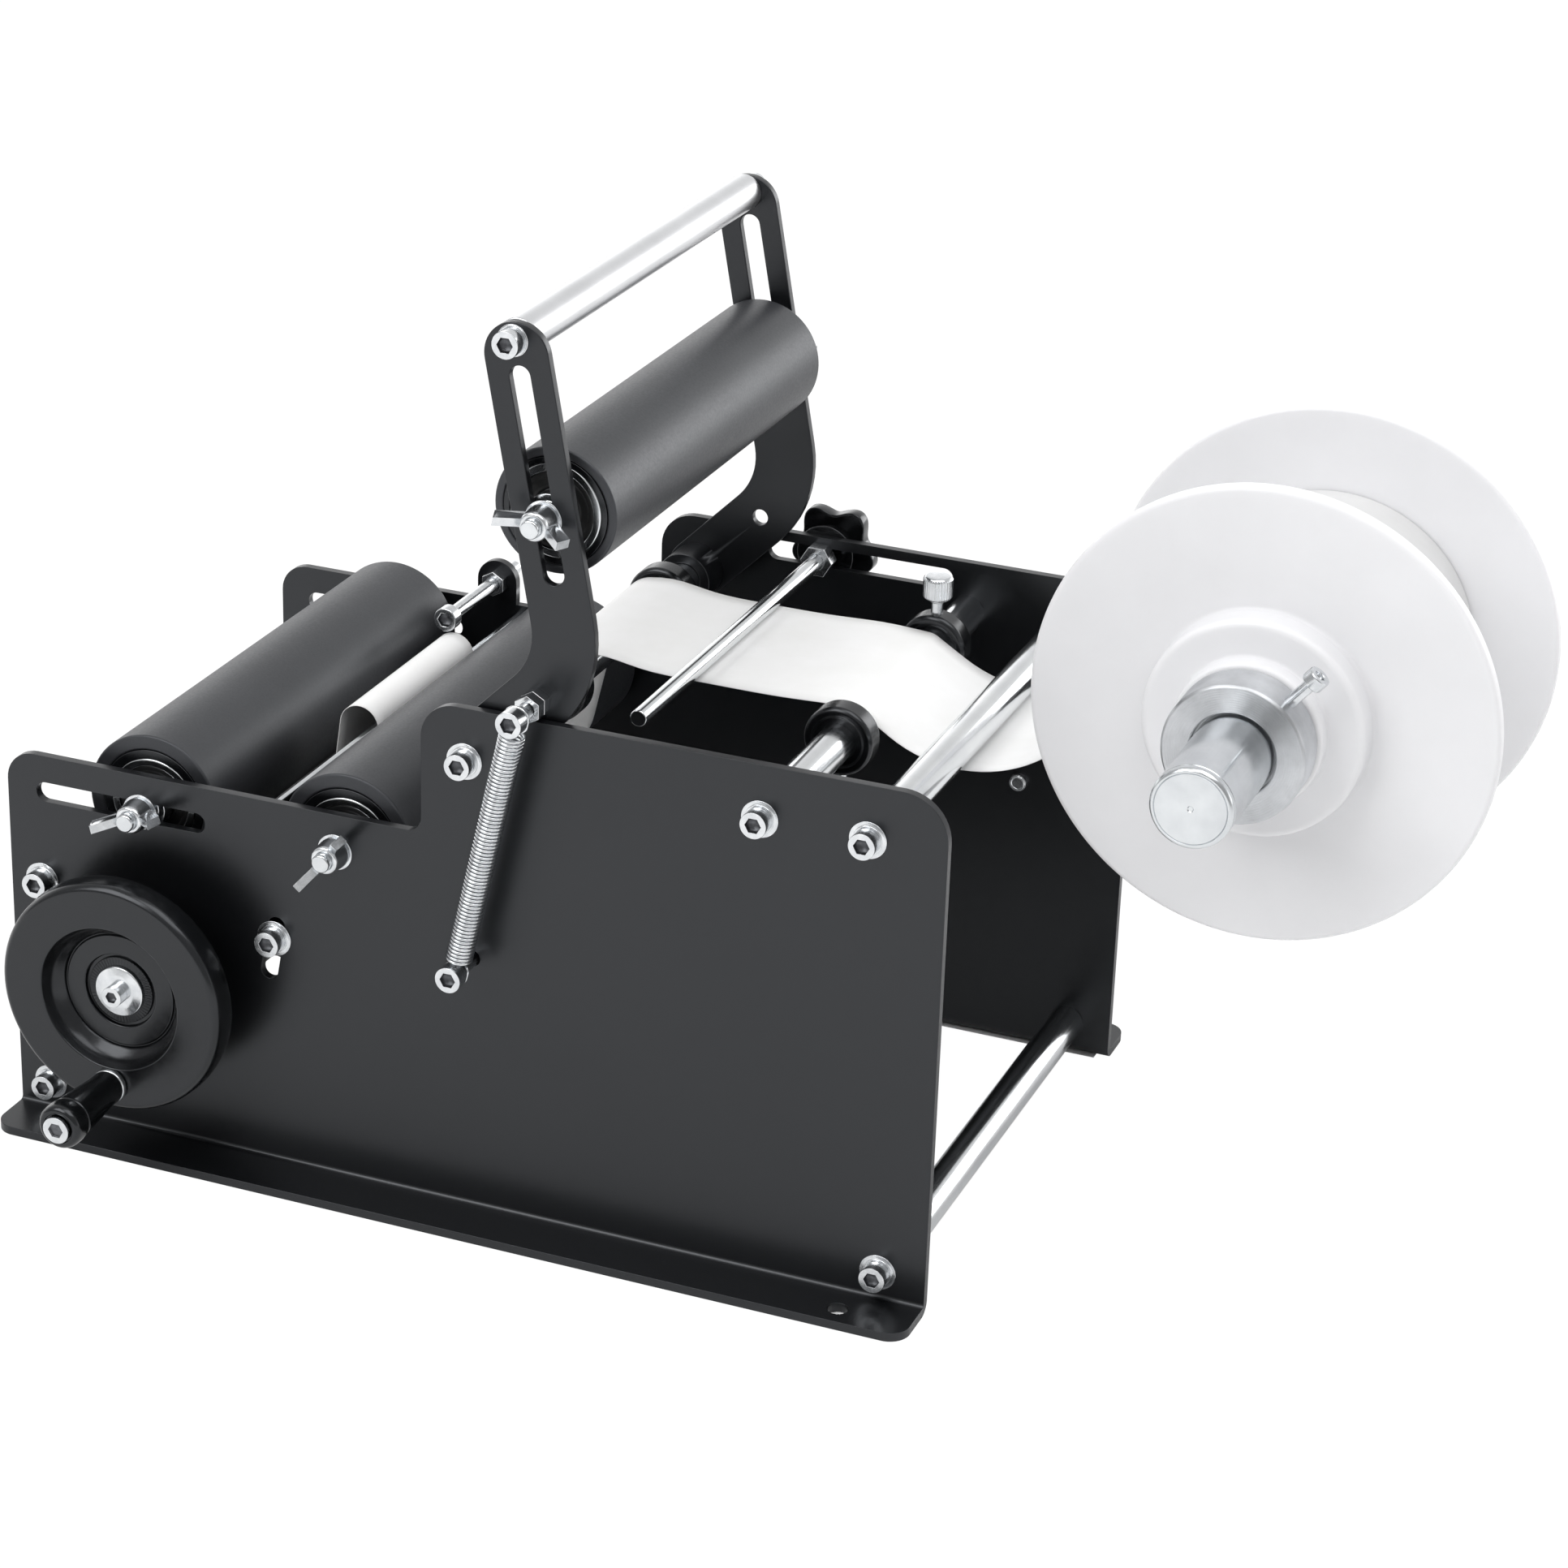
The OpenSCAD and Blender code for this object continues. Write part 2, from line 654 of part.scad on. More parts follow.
// Cut with round ends between two places, through y = from to y = to
module slot(a, b, w, from, to) {
    bar(a, from, to, w);
    bar(b, from, to, w);
    way = b - a;
    translate([a.x, from, a.y])
        rotate([0, -atan2(way.y, way.x), 0])
        translate([0, 0, -w / 2])
        cube([norm(way), to - from, w]);
}

// Corner piece of radius r whose round side faces the origin's quarter
module corner(r) {
    difference() {
        square(r);
        circle(r);
    }
}

// Outline of a side plate, from the foot up
module plate_outline() {
    difference() {
        union() {
            translate([front_end, 0]) square([plate_len, low_h]);
            translate([step_x, 0]) square([rear_end - step_x, high_h]);
            translate([step_x - step_fillet_r, low_h + step_fillet_r]) mirror([0, 1]) corner(step_fillet_r);
        }
        translate([front_end + front_corner_r, low_h - front_corner_r]) plate_corner(front_corner_r, -1);
        translate([step_x + step_corner_r, high_h - step_corner_r]) plate_corner(step_corner_r, -1);
        translate([rear_end - rear_corner_r, high_h - rear_corner_r]) plate_corner(rear_corner_r, 1);
    }
}

// Waste outside a rounded top corner, towards -X or X
module plate_corner(r, way) {
    mirror([way < 0 ? 1 : 0, 0]) difference() {
        square(r + cut);
        circle(r);
    }
}

// Section of the bent sheet, from the inside of the plate outwards and from the foot up
module sheet_section() {
    centre = (plate_t + bend_r) * [1, 1];
    sheet_h = max(high_h, stop_z + ear_w / 2) + cut;
    polygon(concat(
        [[0, sheet_h], [plate_t, sheet_h]],
        bend_points(centre, bend_r, 1),
        [[plate_t + flange_w, plate_t], [plate_t + flange_w, 0]],
        bend_points(centre, bend_r + plate_t, -1)));
}

// Points round the bend, from the plate to the foot or back
function bend_points(centre, r, way) = [
    for (a = [0 : arc_step : 90])
        let (angle = way > 0 ? 180 + a : 270 - a)
        centre + r * [cos(angle), sin(angle)]];

// Plate and foot flange seen from above, from the inside of the plate outwards
module flange_outline() {
    difference() {
        translate([front_end, 0]) square([plate_len, plate_t + flange_w]);
        for (s = [-1, 1])
            translate([s * (plate_len / 2 - flange_corner_r), plate_t + flange_w - flange_corner_r])
            plate_corner(flange_corner_r, s);
        for (s = [-1, 1])
            translate([s * foot_span / 2, plate_t + foot_offset]) circle(d = foot_hole_d);
    }
}

// Bent sheet with its inside on y = 0 and its foot flange towards +Y, with the outline of its plate
module bent_sheet() {
    intersection() {
        translate([front_end - cut, 0, 0])
            rotate([90, 0, 90])
            linear_extrude(plate_len + 2 * cut)
            sheet_section();
        translate([0, plate_t + flange_w + cut, 0])
            rotate([90, 0, 0])
            linear_extrude(plate_t + flange_w + 2 * cut)
            children();
        translate([0, 0, -cut]) linear_extrude(high_h + stop_z) flange_outline();
    }
}

// Side plate with its foot flange and the holes that both plates have
module side_plate(side) {
    from = side > 0 ? inner_y : -outer_y;
    low = from - cut;
    high = from + plate_t + cut;
    slot_a = peel_screw + peel_slot_up * peel_way;
    difference() {
        mirror([0, side > 0 ? 0 : 1, 0]) translate([0, inner_y, 0]) bent_sheet() children();
        for (at = screwed_rods)
            bar(at, low, high, screw_hole_d);
        bar(rear_axle, low, high, axle_end_d + 2 * gap);
        bar(crank, low, high, bush_d + 2 * fit);
        slot([front_end + slot_from, roller_z], [front_end + slot_to, roller_z], axle_slot_w, low, high);
        slot(slot_a, slot_a - peel_slot_l * peel_way, peel_slot_w, low, high);
    }
}

module near_side_plate() {
    color("#191a1c") difference() {
        side_plate(-1) plate_outline();
        bar(anchor, -outer_y - cut, -inner_y + cut, screw_hole_d);
    }
}

module far_side_plate() {
    color("#191a1c") difference() {
        side_plate(1) {
            plate_outline();
            translate(stop) circle(d = ear_w);
            translate([stop.x - ear_w / 2, low_h - cut]) square([ear_w, stop_z - low_h + cut]);
        }
        bar(stop, inner_y - cut, outer_y + cut, screw_hole_d);
        for (at = [bracket_first, bracket_second])
            bar(at, inner_y - cut, outer_y + cut, bracket_screw_d + 2 * fit);
        slot(
            [pivot.x + hold_slot_from, hold_z], [pivot.x + hold_slot_to, hold_z],
            hold_slot_w, inner_y - cut, outer_y + cut);
    }
}

// Rod between the plates, tapped at both ends
module tapped_rod(at, half) {
    difference() {
        bar(at, -half, half, rod_d);
        for (s = [-1, 1])
            bar(at, s < 0 ? -half - cut : half - screw_hold - gap,
                s < 0 ? -half + screw_hold + gap : half + cut, screw_d + 2 * fit);
    }
}

module tie_rods() {
    color("#b9bcc0") for (at = tie_rod_at) tapped_rod(at, inner_y);
}

module guide_rods() {
    color("#c6c9cc") for (at = [guide_front, guide_rear]) tapped_rod(at, inner_y);
}

module lever_pivot_shaft() {
    color("#c6c9cc") tapped_rod(pivot, inner_y);
}

module frame_screws() {
    color("#b0b2b4") {
        for (at = screwed_rods, side = [-1, 1])
            frame_screw(at, head_y, side, screw_l);
        for (side = [-1, 1])
            frame_screw(peel_screw, head_y, side, washer_t + plate_t + peel_t + nut_h + 1);
        frame_screw(anchor, -spring_head_y, -1, -spring_head_y - inner_y + nut_h + 1);
        for (at = [bracket_first, bracket_second])
            on_side(at, outer_y + bracket_t, 1)
            socket_screw(bracket_screw_d, bracket_t + plate_t + 2, bracket_screw_d * 1.6,
                bracket_screw_d, bracket_screw_d * 0.8);
    }
}

module frame_washers() {
    color("#a9abad") {
        for (at = concat(screwed_rods, [peel_screw]), side = [-1, 1])
            washer(at, outer_y, side, screw_d, washer_d);
        for (side = [-1, 1]) {
            washer(rear_axle, outer_y, side, axle_end_d, washer_d);
            washer(pivot, arm_y, side, rod_d, pivot_washer_d);
            spacer(rear_axle, side, inner_y - roller_end_gap + gap, inner_y);
        }
    }
}

// Washer that lies outwards of y on one side
module washer(at, y, side, d, od) {
    on_side(at, y, side) difference() {
        cylinder(d = od, h = washer_t);
        translate([0, 0, -cut]) cylinder(d = d + 2 * fit, h = washer_t + 2 * cut);
    }
}

// Spacer on an axle between a bearing and what holds the axle
module spacer(at, side, from, to) {
    on_side(at, from, side) difference() {
        cylinder(d = spacer_d, h = to - from);
        translate([0, 0, -cut]) cylinder(d = axle_d + 2 * fit, h = to - from + 2 * cut);
    }
}

module frame_nuts() {
    color("#b0b2b4") {
        for (side = [-1, 1])
            on_side_nut(peel_screw, inner_y - peel_t - nut_h, side);
        hex_nut(anchor, -inner_y, -inner_y + nut_h, nut_af, screw_d + 2 * fit);
        hex_nut(stop, inner_y - nut_h, inner_y, nut_af, screw_d + 2 * fit);
        hex_nut(reel, outer_y + bracket_t, outer_y + bracket_t + shaft_end_d * 0.8, shaft_nut_af,
            shaft_end_d + 2 * fit);
    }
}

module on_side_nut(at, from, side) {
    mirror([0, side > 0 ? 0 : 1, 0])
        hex_nut(at, from, from + nut_h, nut_af, screw_d + 2 * fit);
}

// Sheet with a free top edge and an ear bent back along each side plate
module peel_plate() {
    color("#202123") difference() {
        translate([peel_edge.x, 0, peel_edge.y]) rotate([0, peel_lean, 0]) union() {
            translate([-peel_t, -inner_y, -peel_h]) cube([peel_t, 2 * inner_y, peel_h]);
            for (s = [0, 1])
                mirror([0, s, 0])
                translate([-peel_t, -inner_y, -peel_ear_drop - peel_ear_h / 2])
                cube([peel_ear_l + peel_t, peel_t, peel_ear_h]);
        }
        bar(peel_screw, -inner_y - cut, inner_y + cut, screw_hole_d);
    }
}

// Flat arm on the outside of the far plate that carries the reel shaft
module bracket_outline() {
    difference() {
        polygon(loop_points(bracket_loop));
        translate(reel) circle(d = shaft_end_d + 2 * fit);
        for (at = [bracket_first, bracket_second])
            translate(at) circle(d = bracket_screw_d + 2 * fit);
    }
}

module reel_bracket() {
    color("#1d1e20")
        translate([0, outer_y + bracket_t, 0])
        rotate([90, 0, 0])
        linear_extrude(bracket_t)
        bracket_outline();
}

module reel_shaft() {
    chamfer = 0.6;
    free_end = -outer_y - reel_shaft_over;
    color("#c9ccd0") {
        bar(reel, free_end + chamfer, outer_y, reel_shaft_d);
        translate([reel.x, free_end, reel.y])
            rotate([-90, 0, 0])
            cylinder(d1 = reel_shaft_d - 2 * chamfer, d2 = reel_shaft_d, h = chamfer);
        bar(reel, shaft_shoulder_y, outer_y, shaft_shoulder_d);
        bar(reel, outer_y - cut, outer_y + bracket_t + shaft_end_d, shaft_end_d);
    }
}

module label_web() {
    left = web_side(web_t / 2);
    right = web_side(-web_t / 2);
    color("#f4f4f2")
        translate([0, web_far, 0])
        rotate([90, 0, 0])
        linear_extrude(web_w)
        polygon(concat(left, [for (i = [len(right) - 1 : -1 : 0]) right[i]]));
}

module crank_bushes() {
    color("#b08d4a") for (side = [-1, 1])
        on_side(crank, inner_y, side) difference() {
            union() {
                cylinder(d = bush_d, h = plate_t);
                translate([0, 0, plate_t]) cylinder(d = bush_flange_d, h = bush_flange_t);
            }
            translate([0, 0, -cut])
                cylinder(d = crank_shaft_d + 2 * fit, h = plate_t + bush_flange_t + 2 * cut);
        }
}

// Axle with its thick part between the plates or arms and a threaded stub through each
module roller_axle(at, half, through) {
    bar(at, -half, half, axle_d);
    bar(at, -half - through, half + through, axle_end_d);
}

module rear_roller_axle() {
    color("#a7aaad") roller_axle(rear_axle, inner_y, plate_t + washer_t + wing_h * 0.75);
}

module rear_axle_wing_nuts() {
    color("#c2c5c8") for (side = [-1, 1])
        on_side(rear_axle, head_y, side) rotate([0, 0, -side * 52]) wing_nut();
}

module front_roller_axle() {
    color("#a7aaad") roller_axle(front_axle, inner_y, plate_t + washer_t + wing_h * 0.75);
}

module front_axle_wing_nuts() {
    color("#c2c5c8") for (side = [-1, 1])
        on_side(front_axle, head_y, side) rotate([0, 0, -side * 15]) wing_nut();
}

module front_axle_washers() {
    color("#a9abad") for (side = [-1, 1]) {
        washer(front_axle, outer_y, side, axle_end_d, washer_d);
        spacer(front_axle, side, inner_y - roller_end_gap + gap, inner_y);
    }
}

// Metal tube with a bearing seat in each end
module roller_core(at, half, d) {
    difference() {
        bar(at, -half, half, d);
        bar(at, -half - cut, half + cut, bearing_d - 2);
        bar(at, -half - cut, -half + bearing_w, bearing_d + 2 * fit);
        bar(at, half - bearing_w, half + cut, bearing_d + 2 * fit);
    }
}

module roller_bearings(at, half) {
    for (from = [-half, half - bearing_w])
        ring(at, from, from + bearing_w, bearing_d, axle_d + 2 * fit);
}

module front_roller_core() {
    color("#1c1d1f") roller_core(front_axle, inner_y - roller_end_gap, core_d);
}

module front_roller_sleeve() {
    half = inner_y - roller_end_gap;
    color("#5d5f61") ring(front_axle, -half, half, roller_d, core_d + 2 * fit);
}

module front_roller_bearings() {
    color("#8b8e91") roller_bearings(front_axle, inner_y - roller_end_gap);
}

module rear_roller_core() {
    color("#1c1d1f") roller_core(rear_axle, inner_y - roller_end_gap, core_d);
}

module rear_roller_sleeve() {
    half = inner_y - roller_end_gap;
    color("#5d5f61") ring(rear_axle, -half, half, roller_d, core_d + 2 * fit);
}

module rear_roller_bearings() {
    color("#8b8e91") roller_bearings(rear_axle, inner_y - roller_end_gap);
}

// Bent flat arm seen from the near side, with round ends and a round bend
module arm_outline() {
    difference() {
        polygon(loop_points(arm_loop));
        polygon(loop_points(press_slot_loop));
        translate(pivot) circle(d = rod_d + 2 * fit);
        for (at = [handle, stud])
            translate(at) circle(d = screw_hole_d);
    }
}

module lever_arm(side) {
    from = side > 0 ? arm_in_y : -arm_y;
    translate([0, from + arm_t, 0]) rotate([90, 0, 0]) linear_extrude(arm_t) arm_outline();
    on_side(pivot, arm_in_y - boss_l, side) difference() {
        cylinder(d = boss_d, h = boss_l);
        translate([0, 0, -cut]) cylinder(d = rod_d + 2 * fit, h = boss_l + 2 * cut);
    }
}

module near_lever_arm() {
    color("#1a1b1d") lever_arm(-1);
}

module far_lever_arm() {
    color("#1a1b1d") lever_arm(1);
}

module handle_bar() {
    color("#c9ccd0") tapped_rod(handle, arm_in_y);
}

module handle_screws() {
    color("#b0b2b4") for (side = [-1, 1])
        frame_screw(handle, arm_y + washer_t, side, washer_t + arm_t + screw_hold);
}

module handle_washers() {
    color("#a9abad") for (side = [-1, 1]) washer(handle, arm_y, side, screw_d, handle_washer_d);
}

module spring_stud_screw() {
    color("#b0b2b4") frame_screw(stud, -spring_head_y, -1, -spring_head_y - arm_in_y + 1);
}

module spring_stud_nuts() {
    color("#b0b2b4") for (from = [-arm_y - nut_h, -arm_y - 2 * nut_h - gap])
        hex_nut(stud, from, from + nut_h, nut_af, screw_d + 2 * fit);
}

module press_roller_axle() {
    color("#a7aaad") roller_axle(press, arm_in_y, arm_t + washer_t + wing_h * 0.75);
}

module press_axle_wing_nuts() {
    color("#c2c5c8") for (side = [-1, 1])
        on_side(press, arm_y + washer_t, side) rotate([0, 0, side * 12]) wing_nut();
}

module press_axle_washers() {
    color("#a9abad") for (side = [-1, 1]) {
        washer(press, arm_y, side, axle_end_d, washer_d);
        spacer(press, side, arm_in_y - press_end_gap + gap, arm_in_y);
    }
}

module press_roller_core() {
    color("#1c1d1f") roller_core(press, arm_in_y - press_end_gap, press_core_d);
}

module press_roller_sleeve() {
    half = arm_in_y - press_end_gap;
    color("#58595b") ring(press, -half, half, press_d, press_core_d + 2 * fit);
}

module press_roller_bearings() {
    color("#8b8e91") roller_bearings(press, arm_in_y - press_end_gap);
}

// Close-wound extension spring with a hook round the anchor screw and one round the stud
module lever_spring() {
    color("#d0d2d4")
        translate([anchor.x, spring_y, anchor.y])
        rotate([0, spring_turn, 0])
        wire_tube(spring_line, wire_d, wire_sides);
}

module crank_shaft() {
    color("#b9bcc0") difference() {
        bar(crank, wheel_y, crank_end_y, crank_shaft_d);
        bar(crank, wheel_y - cut, wheel_y + screw_hold + gap, screw_d - 1 + 2 * fit);
    }
}

module take_up_core() {
    half = inner_y - roller_end_gap;
    color("#9ea1a4") ring(crank, -half, half, core_d, crank_shaft_d + 2 * fit);
}

module take_up_sleeve() {
    half = inner_y - roller_end_gap;
    color("#5d5f61") ring(crank, -half, half, take_up_d, core_d + 2 * fit);
}

// Solid handwheel with a dished front, as a section of [radius, distance outwards from the widest circle]
module wheel_section() {
    wheel_r = wheel_d / 2;
    recess_r = recess_d / 2;
    hub_r = wheel_hub_d / 2;
    bore_r = crank_shaft_d / 2 + fit;
    hub_back = wheel_y - wheel_back_y;
    back_edge = 5;
    back_round = 1.8;
    front_taper = 0.6;
    front_round = 2.4;
    polygon([
        [bore_r, hub_back], [hub_r, hub_back], [hub_r, -wheel_web_t], [recess_r, -wheel_web_t],
        [wheel_r - back_edge, -rim_back], [wheel_r - back_round, -rim_back + back_round], [wheel_r, 0],
        [wheel_r - front_taper, rim_front - front_round], [wheel_r - front_taper - front_round, rim_front],
        [recess_r, rim_front], [recess_floor_d / 2, 0], [bore_r, 0]]);
}

module handwheel() {
    color("#17181a") difference() {
        translate([crank.x, wheel_y, crank.y]) rotate([90, 0, 0]) rotate_extrude() wheel_section();
        bar(grip, wheel_face_y - cut, wheel_y + rim_back + cut, grip_bolt_d + 2 * fit);
    }
}

module handwheel_washer() {
    color("#c9ccd0")
        ring(crank, wheel_y - wheel_washer_t, wheel_y, wheel_washer_d, screw_d - 1 + 2 * fit);
}

// Screw in the end of the crank shaft, and the bolt that the grip turns on
module crank_screws() {
    color("#6f7173") {
        on_side(crank, -wheel_y + wheel_washer_t, -1)
            socket_screw(screw_d - 1, wheel_washer_t + screw_hold, screw_d + 2, screw_d - 1, screw_key - 1);
        on_side(grip, -grip_y + grip_l, -1)
            socket_screw(grip_bolt_d, grip_l + gap + rim_front + rim_back / 2, grip_head_d, 1.5, screw_key);
    }
}

// Tapered grip with a bead at its free end
module crank_grip() {
    end_r = grip_d / 2;
    base_r = grip_base_d / 2;
    bore_r = grip_bolt_d / 2 + fit;
    color("#141517") translate([grip.x, grip_y, grip.y]) rotate([90, 0, 0]) rotate_extrude()
        polygon([
            [bore_r, 0], [base_r + 0.6, 0], [base_r + 1, 1.2], [base_r, 3], [base_r + 0.4, grip_l * 0.3],
            [end_r - 1.2, grip_l * 0.66], [end_r - 0.3, grip_l * 0.76], [end_r, grip_l * 0.84],
            [end_r, grip_l - 2.2], [end_r - 0.8, grip_l - 0.6], [end_r - 2, grip_l], [bore_r, grip_l]]);
}

// Guide collar on a rod, with a tapped hole through its wall: up is 1 above the rod, -1 below
module collar(at, from, up) {
    difference() {
        ring(at, from, from + collar_w, collar_d, rod_d + 2 * fit);
        translate([at.x, from + collar_w / 2, at.y])
            rotate([up > 0 ? 0 : 180, 0, 0])
            cylinder(d = thumb_thread_d + 2 * fit, h = collar_d);
    }
}

// Thumb screw that clamps a collar on its rod
module thumb_screw(at, from, up) {
    seat = collar_d / 2 + thumb_stand;
    translate([at.x, from + collar_w / 2, at.y]) rotate([up > 0 ? 0 : 180, 0, 0]) {
        translate([0, 0, rod_d / 2 + gap])
            cylinder(d = thumb_thread_d, h = seat - rod_d / 2);
        translate([0, 0, seat]) cylinder(d = thumb_d, h = thumb_h);
    }
}

near_collar_y = web_near - collar_gap - collar_w;
far_collar_y = web_far + collar_gap;

module near_web_collar() {
    color("#1c1d1f") collar(guide_front, near_collar_y, -1);
}

module near_thumb_screw() {
    color("#c2c5c8") thumb_screw(guide_front, near_collar_y, -1);
}

module far_web_collar() {
    color("#1c1d1f") collar(guide_front, far_collar_y, 1);
}

module far_thumb_screw() {
    color("#c2c5c8") thumb_screw(guide_front, far_collar_y, 1);
}

module near_pivot_collar() {
    color("#1c1d1f") collar(pivot, near_collar_y, -1);
}

module far_pivot_collar() {
    color("#1c1d1f") collar(pivot, far_collar_y, -1);
}

module hold_down_rod() {
    color("#c9ccd0") bar(hold, -inner_y + hold_end_gap, outer_y + knob_neck + knob_h / 2, hold_d);
}

module hold_down_nut() {
    color("#b0b2b4")
        hex_nut(hold, inner_y - hold_d, inner_y, hold_nut_af, hold_d + 2 * fit, false);
}

// Star knob that clamps the hold-down rod against the outside of the far plate
module star_knob() {
    ring_r = knob_d / 2 - knob_lobe_d / 2;
    color("#151618") on_side(hold, outer_y, 1) difference() {
        union() {
            cylinder(d = knob_neck_d, h = knob_neck + cut);
            translate([0, 0, knob_neck]) {
                cylinder(r = ring_r, h = knob_h);
                for (k = [0 : knob_lobes - 1])
                    rotate(360 * k / knob_lobes + 90)
                    translate([ring_r, 0])
                    cylinder(d = knob_lobe_d, h = knob_h);
            }
        }
        translate([0, 0, -cut]) cylinder(d = hold_d + 2 * fit, h = knob_neck + knob_h / 2 + gap + cut);
    }
}

// Reel disc with its boss and shoulder outwards: side is -1 for the front disc, 1 for the rear one
module reel_disc(y, side) {
    on_side(reel, side * y, side) difference() {
        union() {
            cylinder(d = disc_d, h = disc_t);
            cylinder(d = disc_boss_d, h = disc_t + disc_boss_l);
            cylinder(d = disc_shoulder_d, h = disc_t + disc_boss_l + disc_shoulder_l);
        }
        translate([0, 0, -cut])
            cylinder(d = reel_shaft_d + 2 * fit, h = disc_t + disc_boss_l + disc_shoulder_l + 2 * cut);
    }
}

module reel_front_disc() {
    color("#e9eae6") reel_disc(disc_front_y + disc_t, -1);
}

module reel_rear_disc() {
    color("#e9eae6") reel_disc(disc_rear_y, 1);
}

// Wound labels on a core that turns on the reel shaft
module label_roll() {
    color("#f4f4f2") ring(reel, web_near, web_far, roll_d, reel_shaft_d + 2 * roll_play);
}

module reel_clamp_collar() {
    color("#d2d4d6") difference() {
        ring(reel, clamp_y - clamp_w, clamp_y, clamp_d, reel_shaft_d + 2 * fit);
        clamp_way() cylinder(d = clamp_screw_d + 2 * fit, h = clamp_d);
    }
}

// Frame of the clamp screw, with +Z out along the screw from the reel shaft's axis
module clamp_way() {
    translate([reel.x, clamp_y - clamp_w / 2, reel.y]) rotate([0, clamp_turn, 0]) children();
}

module reel_clamp_screw() {
    inner = reel_shaft_d / 2 + gap;
    color("#77797b") clamp_way() translate([0, 0, clamp_head_at])
        socket_screw(clamp_screw_d, clamp_head_at - inner, clamp_head_d, clamp_screw_d, clamp_screw_d - 1);
}

module bottle_stop_screw() {
    seat = inner_y - stop_reach;
    color("#b0b2b4") on_side(stop, -seat, -1)
        socket_screw(screw_d, outer_y + stop_over - seat, screw_head_d, screw_head_h, screw_key);
}

near_side_plate();
far_side_plate();
tie_rods();
guide_rods();
lever_pivot_shaft();
frame_screws();
frame_washers();
frame_nuts();
peel_plate();
reel_bracket();
reel_shaft();
label_web();
crank_bushes();
rear_roller_axle();
rear_axle_wing_nuts();
front_roller_axle();
front_axle_wing_nuts();
front_axle_washers();
front_roller_core();
front_roller_sleeve();
front_roller_bearings();
rear_roller_core();
rear_roller_sleeve();
rear_roller_bearings();
near_lever_arm();
far_lever_arm();
handle_bar();
handle_screws();
handle_washers();
spring_stud_screw();
spring_stud_nuts();
press_roller_axle();
press_axle_wing_nuts();
press_axle_washers();
press_roller_core();
press_roller_sleeve();
press_roller_bearings();
lever_spring();
crank_shaft();
take_up_core();
take_up_sleeve();
handwheel();
handwheel_washer();
crank_screws();
crank_grip();
near_web_collar();
near_thumb_screw();
far_web_collar();
far_thumb_screw();
near_pivot_collar();
far_pivot_collar();
hold_down_rod();
hold_down_nut();
star_knob();
reel_front_disc();
reel_rear_disc();
label_roll();
reel_clamp_collar();
reel_clamp_screw();
bottle_stop_screw();
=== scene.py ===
import json
import math

import bmesh
import bpy
from mathutils import Matrix, Quaternion, Vector

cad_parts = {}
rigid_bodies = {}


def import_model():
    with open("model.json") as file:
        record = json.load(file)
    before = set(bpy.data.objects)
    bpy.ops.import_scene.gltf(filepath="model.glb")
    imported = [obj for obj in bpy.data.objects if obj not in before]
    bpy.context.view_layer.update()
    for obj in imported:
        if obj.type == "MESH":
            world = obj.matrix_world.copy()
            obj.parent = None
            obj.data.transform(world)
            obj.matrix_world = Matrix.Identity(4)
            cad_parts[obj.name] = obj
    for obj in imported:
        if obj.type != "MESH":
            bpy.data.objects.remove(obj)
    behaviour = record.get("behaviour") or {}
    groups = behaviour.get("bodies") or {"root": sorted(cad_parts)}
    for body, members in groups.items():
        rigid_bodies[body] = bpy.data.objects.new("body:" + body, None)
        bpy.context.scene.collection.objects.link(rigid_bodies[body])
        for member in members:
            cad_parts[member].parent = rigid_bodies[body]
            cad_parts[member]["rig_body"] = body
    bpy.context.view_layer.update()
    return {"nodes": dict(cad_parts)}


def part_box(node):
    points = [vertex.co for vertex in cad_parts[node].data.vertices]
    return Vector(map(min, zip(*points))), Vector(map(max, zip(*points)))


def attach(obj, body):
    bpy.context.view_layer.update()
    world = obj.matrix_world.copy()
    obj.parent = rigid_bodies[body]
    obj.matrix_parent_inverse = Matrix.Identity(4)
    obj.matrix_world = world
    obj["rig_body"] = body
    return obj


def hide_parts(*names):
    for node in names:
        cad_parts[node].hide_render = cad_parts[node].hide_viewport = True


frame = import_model()
nodes = frame["nodes"]
scene = bpy.context.scene
mm = 0.001
up = Vector((0, 0, 1))
alongBar = Vector((0, 1, 0))  # rods, rollers and the reel all lie along Y
towardsEye = -alongBar

# Camera: solved from the plate edges in the photograph, for a square picture
cameraView = {
    "place": (0.50680, -1.13995, 0.66544),
    "azimuth": 20.902,
    "elevation": 23.901,
    "roll": 2.054,
    "lens": 94.815,
    "sensor": 36.0,
    "clip": (0.05, 20.0),
}


def addCamera(view):
    turn, rise = math.radians(view["azimuth"]), math.radians(view["elevation"])
    ahead = Vector((-math.sin(turn) * math.cos(rise), math.cos(turn) * math.cos(rise), -math.sin(rise)))
    data = bpy.data.cameras.new("photoCamera")
    data.lens, data.sensor_width = view["lens"], view["sensor"]
    data.clip_start, data.clip_end = view["clip"]
    camera = bpy.data.objects.new("photoCamera", data)
    scene.collection.objects.link(camera)
    camera.location = view["place"]
    camera.rotation_mode = "QUATERNION"
    camera.rotation_quaternion = (
        ahead.to_track_quat("-Z", "Y") @ Quaternion(up, math.radians(view["roll"])))
    scene.camera = camera


addCamera(cameraView)
print("camera placed")


# Finishes

def linear(hexText):
    channels = [int(hexText[i:i + 2], 16) / 255 for i in (0, 2, 4)]
    return (*[c / 12.92 if c <= 0.04045 else ((c + 0.055) / 1.055) ** 2.4 for c in channels], 1)


